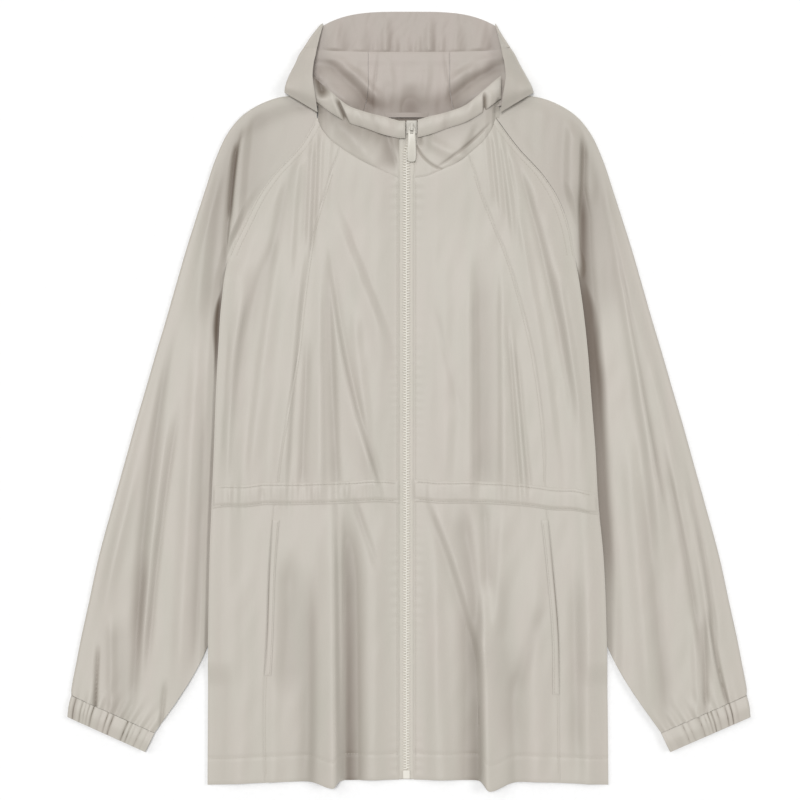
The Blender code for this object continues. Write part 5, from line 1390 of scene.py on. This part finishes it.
# %% Tab
SLIDER_BODY, SLIDER_TOP_PLATE, TAB_PIVOT_UP = 3.6, 1.2, 1.5
TAB_PIVOT_Z = ZIP_FLOOR + NECK_RISE + SLIDER_BODY + SLIDER_TOP_PLATE + TAB_PIVOT_UP
TAB_LENGTH, TAB_THICK, TAB_BAR, TAB_TILT = 40.0, 1.6, 0.8, math.radians(2.3)
TAB_NECK_HALF, TAB_END_HALF, TAB_WINDOW_HALF, TAB_WINDOW = 4.2, 5.2, 2.2, 8.0
TAB_POINTS, TAB_CHAMFER, TAB_CORNER, TAB_WINDOW_CORNER = 96, 0.35, 5, 6


def stadium(points, low, high, half_low, half_high, corner):
    """A closed outline: a superellipse whose half width goes from half_low at its low end to half_high."""
    sideways, lengthwise = superellipse(points, corner)
    y = (low + high) / 2 + (high - low) / 2 * lengthwise
    share = (y - low) / (high - low)
    x = (half_low + (half_high - half_low) * share) * sideways
    return np.column_stack([x, y])


def zip_pull():
    """Six rings from the lower face's outline over the chamfers to the window and back."""
    outline = stadium(TAB_POINTS, -TAB_LENGTH, TAB_BAR, TAB_END_HALF, TAB_NECK_HALF, TAB_CORNER)
    halves = TAB_WINDOW_HALF, TAB_WINDOW_HALF
    window = stadium(TAB_POINTS, -TAB_WINDOW, -TAB_BAR, *halves, TAB_WINDOW_CORNER)
    centre = outline.mean(axis=0)
    inset = centre + (outline - centre) * [1 - TAB_CHAMFER / TAB_END_HALF, 1 - 2 * TAB_CHAMFER / TAB_LENGTH]
    half = TAB_THICK / 2
    rings = (
        (outline, -half + TAB_CHAMFER),
        (outline, half - TAB_CHAMFER),
        (inset, half),
        (window, half),
        (window, -half),
        (inset, -half),
    )
    grid = np.array([np.column_stack([line, np.full(TAB_POINTS, z)]) for line, z in rings])
    cosine, sine = math.cos(TAB_TILT), math.sin(TAB_TILT)
    turn = np.array([[1, 0, 0], [0, cosine, sine], [0, -sine, cosine]])
    points = grid.reshape(-1, 3) @ turn + [zip_line(SLIDER_Y), SLIDER_Y, TAB_PIVOT_Z]
    numbers = np.arange(len(points)).reshape(len(rings), TAB_POINTS)
    numbers = np.concatenate([numbers, numbers[:1]], axis=0)
    numbers = np.concatenate([numbers, numbers[:, :1]], axis=1)
    piece = put_mesh("zip_pull_tab", points, grid_quads(numbers))
    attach(piece, "zip_pull")
    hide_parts("zip_pull")
    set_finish(piece, "zip_metal")
    return piece


pull_tab = zip_pull()
print("pull tab:", len(pull_tab.data.polygons), "faces")

# %% [markdown]
# ## Stitches
# Topstitching runs beside the zip, along the raglan seams, the casing, the pockets and the hem. Each stitch
# is a short bead of thread on the cloth. A path is sampled at even steps, each step gets a copy of one bead,
# turned along the path. All beads of a group are one mesh.

# %% Stitch beads
STITCH_LONG, STITCH_STEP, STITCH_WIDE, STITCH_TALL, LOOK_AHEAD = 2.3, 3.3, 0.55, 0.5, 0.5
BEAD_SIDES = 6
BeadRing = namedtuple("BeadRing", "at share")
BEAD_RINGS = (BeadRing(-0.5, 0.35), BeadRing(-0.3, 1.0), BeadRing(0.3, 1.0), BeadRing(0.5, 0.35))


def even_points(path, step):
    """Points at even steps along a path, and the direction there."""
    lengths = np.concatenate([[0], np.cumsum(np.linalg.norm(np.diff(path, axis=0), axis=1))])
    at = np.arange(step, lengths[-1] - step, step)
    points = np.stack([np.interp(at, lengths, path[:, i]) for i in range(3)], axis=1)
    ahead = np.stack([np.interp(at + LOOK_AHEAD, lengths, path[:, i]) for i in range(3)], axis=1)
    heading = ahead - points
    return points, heading / np.linalg.norm(heading, axis=1, keepdims=True)


def bead():
    """Rings along x: an ellipse of thread, thin at both ends."""
    angle = np.linspace(0, 2 * math.pi, BEAD_SIDES, endpoint=False)
    wide, tall = np.cos(angle) * STITCH_WIDE / 2, np.sin(angle) * STITCH_TALL / 2
    rings = []
    for ring in BEAD_RINGS:
        along = np.full(BEAD_SIDES, ring.at * STITCH_LONG)
        rings.append(np.column_stack([along, wide * ring.share, tall * ring.share]))
    return np.concatenate(rings)


def stitch_group(name, paths):
    """One bead at each step of each path: along the path, level, and upright."""
    steps = [even_points(path, STITCH_STEP) for path in paths]
    places = np.concatenate([points for points, _ in steps])
    ahead = np.concatenate([heading for _, heading in steps])
    sideways = np.cross(UP, ahead)
    sideways = sideways / np.linalg.norm(sideways, axis=1, keepdims=True)
    upright = np.cross(ahead, sideways)
    points = places[:, None] + bead() @ np.stack([ahead, sideways, upright], axis=1)
    piece = put_copies(name, points, ring_quads(len(BEAD_RINGS), BEAD_SIDES))
    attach(piece, "jacket")
    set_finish(piece, "shell_cloth")
    print(name, len(places), "stitches")
    return piece


# %% Stitch lines
STITCH_SIT, CASING_STITCH_UP = 0.1, 0.2
ZIP_STITCH_IN, RAGLAN_STITCHES_IN, SEAM_STITCH_IN, WELT_STITCH_IN = 2.4, (2.2, 8.5), 2.6, 1.2
Run = namedtuple("Run", "start end points")
ZIP_RUN, RAGLAN_RUN, PRINCESS_RUN = Run(HEM_Y + 6, 254, 420), Run(165, 322, 160), Run(-95, 262, 220)
WELT_POINTS, BELOW_POCKET_POINTS, BELOW_POCKET_TO = 120, 90, HEM_Y + 4
ACROSS_POINTS = 220
HEM_STITCH_FROM_SIDE, HEM_STITCH_FROM_ZIP = 4, 12
WAIST_STITCH_FROM_SIDE, WAIST_STITCH_FROM_ZIP = 8, 10


def on_front(side, x, y, extra=0.0):
    """A path on the front's upper side."""
    height, _ = front_field(side, x, y)
    return np.stack([x, y, height + BODY_CLOTH + extra + STITCH_SIT], axis=1)


def beside_seam(side, seam, inset, run, extra=0.0):
    """A stitch line at an even distance inside the body's edge or princess seam."""
    y = np.linspace(*run)
    return on_front(side, body_line(seam, side, y) - side * inset, y, extra)


def across_front(side, level, from_side, from_zip):
    """x from near the side to near the zip, at even steps."""
    start = body_line("edge", side, level) - side * from_side
    return np.linspace(start, ZIP_X + side * from_zip, ACROSS_POINTS)


def front_stitches(side):
    y = np.linspace(*ZIP_RUN)
    x = np.full(len(y), ZIP_X + side * (PANEL_FROM_ZIP + ZIP_STITCH_IN))
    lines = [on_front(side, x, y)]
    lines += [beside_seam(side, "edge", inset, RAGLAN_RUN) for inset in RAGLAN_STITCHES_IN]
    x = across_front(side, HEM_Y, HEM_STITCH_FROM_SIDE, HEM_STITCH_FROM_ZIP)
    lines.append(on_front(side, x, hem_line(x) + HEM_STITCH_UP, -STITCH_DIP))
    below_pocket = Run(POCKET_LEVELS[side][0], BELOW_POCKET_TO, BELOW_POCKET_POINTS)
    lines += [beside_seam(side, "princess", SEAM_STITCH_IN, run) for run in (PRINCESS_RUN, below_pocket)]
    welt, over = Run(*POCKET_LEVELS[side], WELT_POINTS), SEAM_GAP + TRIM_CLOTH
    lines.append(beside_seam(side, "princess", WELT_WIDTH - WELT_STITCH_IN, welt, over))
    x = across_front(side, WAIST_Y, WAIST_STITCH_FROM_SIDE, WAIST_STITCH_FROM_ZIP)
    for share in casing_stitch_shares():
        level = CASING_LEVELS[0] + (CASING_LEVELS[1] - CASING_LEVELS[0]) * share
        y = level + waist_shift(side, x, level)
        lines.append(on_front(side, x, y, over + CASING_STITCH_UP))
    return stitch_group(f"front_stitches_{SIDE_NAMES[side]}", lines)


stitches = [front_stitches(side) for side in (LEFT, RIGHT)]

# %% [markdown]
# ## Cloth that shines a little
# Thin nylon is smooth: it has a soft broad shine and a fine weave that only shows close by. Shade is painted
# into its colour: darker and warmer where it lies deep in a fold or in shadow. The weave is two fine waves at
# right angles used as a bump. The painted shade is read from each shell's own number.

# %% Materials
Bump = namedtuple("Bump", "per_metre strength depth")
WEAVE, WEAVE_DISTORTION = Bump(2600.0, 0.05, 0.0002), 1.5
CRINKLE, CRINKLE_DETAIL = Bump(110.0, 0.07, 0.002), 2.0
GRAIN, BLOTCHES_PER_METRE, BLOTCH_TINT, NOISE_DETAIL = Bump(1500.0, 0.08, 0.0004), 180.0, 0.93, 3.0
STREAKS_PER_METRE, STREAK_TINTS = 38.0, ((0.955, 0.985, 0.965), (1.045, 1.01, 1.03))
STREAK_STRETCH = (1.0, 0.25, 1.0)
MIX_FIRST, MIX_SECOND, MIX_RESULT = 6, 7, 2
Finish = namedtuple("Finish", "colour deep roughness sheen shine")
FINISHES = {
    "nylon": Finish((0.476, 0.443, 0.389), (0.1, 0.068, 0.042), 0.5, 0.1, 0.6),
    "inside_nylon": Finish((0.412, 0.366, 0.326), (0.1, 0.062, 0.038), 0.52, 0.1, 0.6),
    "woven_tape": Finish((0.555, 0.525, 0.468), (0.3, 0.27, 0.22), 0.7, 0.1, 0.4),
}
Plastic = namedtuple("Plastic", "colour roughness")
PLASTICS = {
    "zip_teeth_plastic": Plastic((0.72, 0.69, 0.62), 0.42),
    "zip_tab_plastic": Plastic((0.65, 0.62, 0.55), 0.36),
    "zip_slider_plastic": Plastic((0.5, 0.475, 0.42), 0.45),
    "thread": Plastic((0.48, 0.447, 0.388), 0.7),
    "pale_floor": Plastic((0.93, 0.93, 0.93), 0.9),
}


def node_of(tree, kind, **values):
    """A new shader node with its settings."""
    node = tree.nodes.new(kind)
    for name, value in values.items():
        setattr(node, name, value)
    return node


def noise_at(tree, coordinates, scale, detail=NOISE_DETAIL):
    noise = node_of(tree, "ShaderNodeTexNoise")
    noise.inputs["Scale"].default_value = scale
    noise.inputs["Detail"].default_value = detail
    tree.links.new(coordinates, noise.inputs["Vector"])
    return noise.outputs["Fac"]


def wave_at(tree, coordinates, direction, scale):
    wave = node_of(tree, "ShaderNodeTexWave", bands_direction=direction)
    wave.inputs["Scale"].default_value = scale
    wave.inputs["Distortion"].default_value = WEAVE_DISTORTION
    tree.links.new(coordinates, wave.inputs["Vector"])
    return wave.outputs["Fac"]


def bump_on(tree, height, size, before=None):
    """A bump from a height, of the strength and depth in the table, over an earlier bump if there is one."""
    bump = node_of(tree, "ShaderNodeBump")
    bump.inputs["Strength"].default_value = size.strength
    bump.inputs["Distance"].default_value = size.depth
    tree.links.new(height, bump.inputs["Height"])
    if before is not None:
        tree.links.new(before, bump.inputs["Normal"])
    return bump.outputs["Normal"]


def mixed(tree, share, first, second):
    """A colour between two, by a share that a node gives."""
    mix = node_of(tree, "ShaderNodeMix", data_type="RGBA")
    tree.links.new(share, mix.inputs["Factor"])
    for socket, value in ((mix.inputs[MIX_FIRST], first), (mix.inputs[MIX_SECOND], second)):
        if isinstance(value, tuple):
            socket.default_value = (*value, 1)
        else:
            tree.links.new(value, socket)
    return mix.outputs[MIX_RESULT]


def new_material(name):
    """A new material, its node tree, its shader and the place of each point on the piece."""
    made = bpy.data.materials.new(name)
    made.use_nodes = True
    tree = made.node_tree
    return made, tree, tree.nodes["Principled BSDF"], node_of(tree, "ShaderNodeTexCoord").outputs["Object"]


def cloth_material(name, finish):
    """Colour from faint streaks and painted fold shade, and a bump from two weave waves over long crinkles.
    """
    made, tree, shader, place = new_material(name)
    # Painted shade: the shell's number mixes the colour towards the darker shade colour.
    depth = node_of(tree, "ShaderNodeAttribute", attribute_name="painted_shade").outputs["Fac"]
    stretch = node_of(tree, "ShaderNodeMapping")
    stretch.inputs["Scale"].default_value = STREAK_STRETCH
    tree.links.new(place, stretch.inputs["Vector"])
    cooler, warmer = (tuple(c * k for c, k in zip(finish.colour, tint)) for tint in STREAK_TINTS)
    streaks = mixed(tree, noise_at(tree, stretch.outputs["Vector"], STREAKS_PER_METRE), cooler, warmer)
    tree.links.new(mixed(tree, depth, streaks, finish.deep), shader.inputs["Base Color"])
    crinkles = noise_at(tree, stretch.outputs["Vector"], CRINKLE.per_metre, CRINKLE_DETAIL)
    normal = bump_on(tree, crinkles, CRINKLE)
    for direction in ("X", "Y"):
        normal = bump_on(tree, wave_at(tree, place, direction, WEAVE.per_metre), WEAVE, normal)
    tree.links.new(normal, shader.inputs["Normal"])
    shader.inputs["Roughness"].default_value = finish.roughness
    shader.inputs["Sheen Weight"].default_value = finish.sheen
    shader.inputs["Specular IOR Level"].default_value = finish.shine
    return made


def plastic_material(name, plastic):
    """A plain finish: one colour with a faint blotch, and a fine grain as a bump."""
    made, tree, shader, place = new_material(name)
    darker = tuple(c * BLOTCH_TINT for c in plastic.colour)
    blotches = noise_at(tree, place, BLOTCHES_PER_METRE)
    tree.links.new(mixed(tree, blotches, plastic.colour, darker), shader.inputs["Base Color"])
    tree.links.new(bump_on(tree, noise_at(tree, place, GRAIN.per_metre), GRAIN), shader.inputs["Normal"])
    shader.inputs["Roughness"].default_value = plastic.roughness
    return made


cloths = {name: cloth_material(name, finish) for name, finish in FINISHES.items()}
plastics = {name: plastic_material(name, plastic) for name, plastic in PLASTICS.items()}
print("materials:", sorted(cloths), sorted(plastics))

# %% Finish each piece
SLOT_FINISH = {"shell_cloth": "nylon", "inner_cloth": "inside_nylon", "zip_tape": "woven_tape"}
for sheet in sheets.values():
    finishes = ("nylon", "inside_nylon") if sheet.lined else (SLOT_FINISH[sheet.piece["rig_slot"]],)
    for finish in finishes:
        sheet.piece.data.materials.append(cloths[finish])
for piece in sum(trims.values(), []):
    piece.data.materials.append(cloths[SLOT_FINISH[piece["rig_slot"]]])
for piece in teeth:
    piece.data.materials.append(plastics["zip_teeth_plastic"])
for piece in stitches:
    piece.data.materials.append(plastics["thread"])
pull_tab.data.materials.append(plastics["zip_tab_plastic"])
for name, finish in (("zip_box", "zip_teeth_plastic"), ("zip_slider", "zip_slider_plastic")):
    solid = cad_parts[name].data
    solid.materials.clear()
    solid.materials.append(plastics[finish])
print("finished", len(sheets), "cloth pieces")

print("cut in all:", round(sum(sheet.area for sheet in sheets.values()), 3), "square metres")

# %% [markdown]
# ## Floor, light and camera
# A product photo of cloth needs a pale floor and soft lights: one from overhead for an even tone, one on the
# right for shape, one on the left to open the shadows, and an even sky. A sun lamp with a wide angle is soft
# and equally bright on both sleeves. The camera looks straight down from far off, so that the hood, which
# stands a little higher, isn't drawn much larger than it is.

# %% Floor
FLOOR_HALF, FLOOR_BELOW = 3.0, 0.4
floor_z = -FLOOR_BELOW * MM
floor_corners = [(x * FLOOR_HALF, y * FLOOR_HALF, floor_z) for x, y in ((-1, -1), (1, -1), (1, 1), (-1, 1))]
floor_mesh = bpy.data.meshes.new("floor")
floor_mesh.from_pydata(floor_corners, [], [(0, 1, 2, 3)])
floor = bpy.data.objects.new("floor", floor_mesh)
bpy.context.scene.collection.objects.link(floor)
floor_mesh.materials.append(plastics["pale_floor"])
print("floor", FLOOR_BELOW, "mm below the cloth")

# %% Lights and camera
Lamp = namedtuple("Lamp", "name x y z spread strength")
LAMPS = (
    Lamp("right_light", 1.0, 0.2, 0.9, 24, 0.66),
    Lamp("left_light", -1.0, 0.5, 1.1, 40, 0.55),
    Lamp("overhead_light", -0.1, 0.15, 1.0, 16, 1.66),
)
SKY_STRENGTH = 0.35
LENS_MM, SENSOR_MM, VIEW_WIDTH, VIEW_CENTRE = 120.0, 36.0, 0.92, (-0.01035, 0.00098)


def add_lamp(lamp):
    """A far lamp, soft because it is wide in the sky, so that it lights both sleeves alike."""
    light = bpy.data.lights.new(lamp.name, "SUN")
    light.angle, light.energy = math.radians(lamp.spread), lamp.strength
    holder = bpy.data.objects.new(lamp.name, light)
    holder.location = (lamp.x, lamp.y, lamp.z)
    holder.rotation_mode = "QUATERNION"
    holder.rotation_quaternion = holder.location.to_track_quat("Z", "Y")
    bpy.context.scene.collection.objects.link(holder)


for lamp in LAMPS:
    add_lamp(lamp)
sky = bpy.data.worlds.new("even_sky")
sky.use_nodes = True
sky.node_tree.nodes["Background"].inputs["Color"].default_value = (1.0, 1.0, 1.0, 1)
sky.node_tree.nodes["Background"].inputs["Strength"].default_value = SKY_STRENGTH
bpy.context.scene.world = sky
bpy.context.scene.view_settings.view_transform = "Standard"

camera_lens = bpy.data.cameras.new("from_above")
camera_lens.lens, camera_lens.sensor_width = LENS_MM, SENSOR_MM
camera = bpy.data.objects.new("from_above", camera_lens)
camera.location = (*VIEW_CENTRE, VIEW_WIDTH * LENS_MM / SENSOR_MM)
bpy.context.scene.collection.objects.link(camera)
bpy.context.scene.camera = camera
print("camera height", round(camera.location.z, 3), "m")
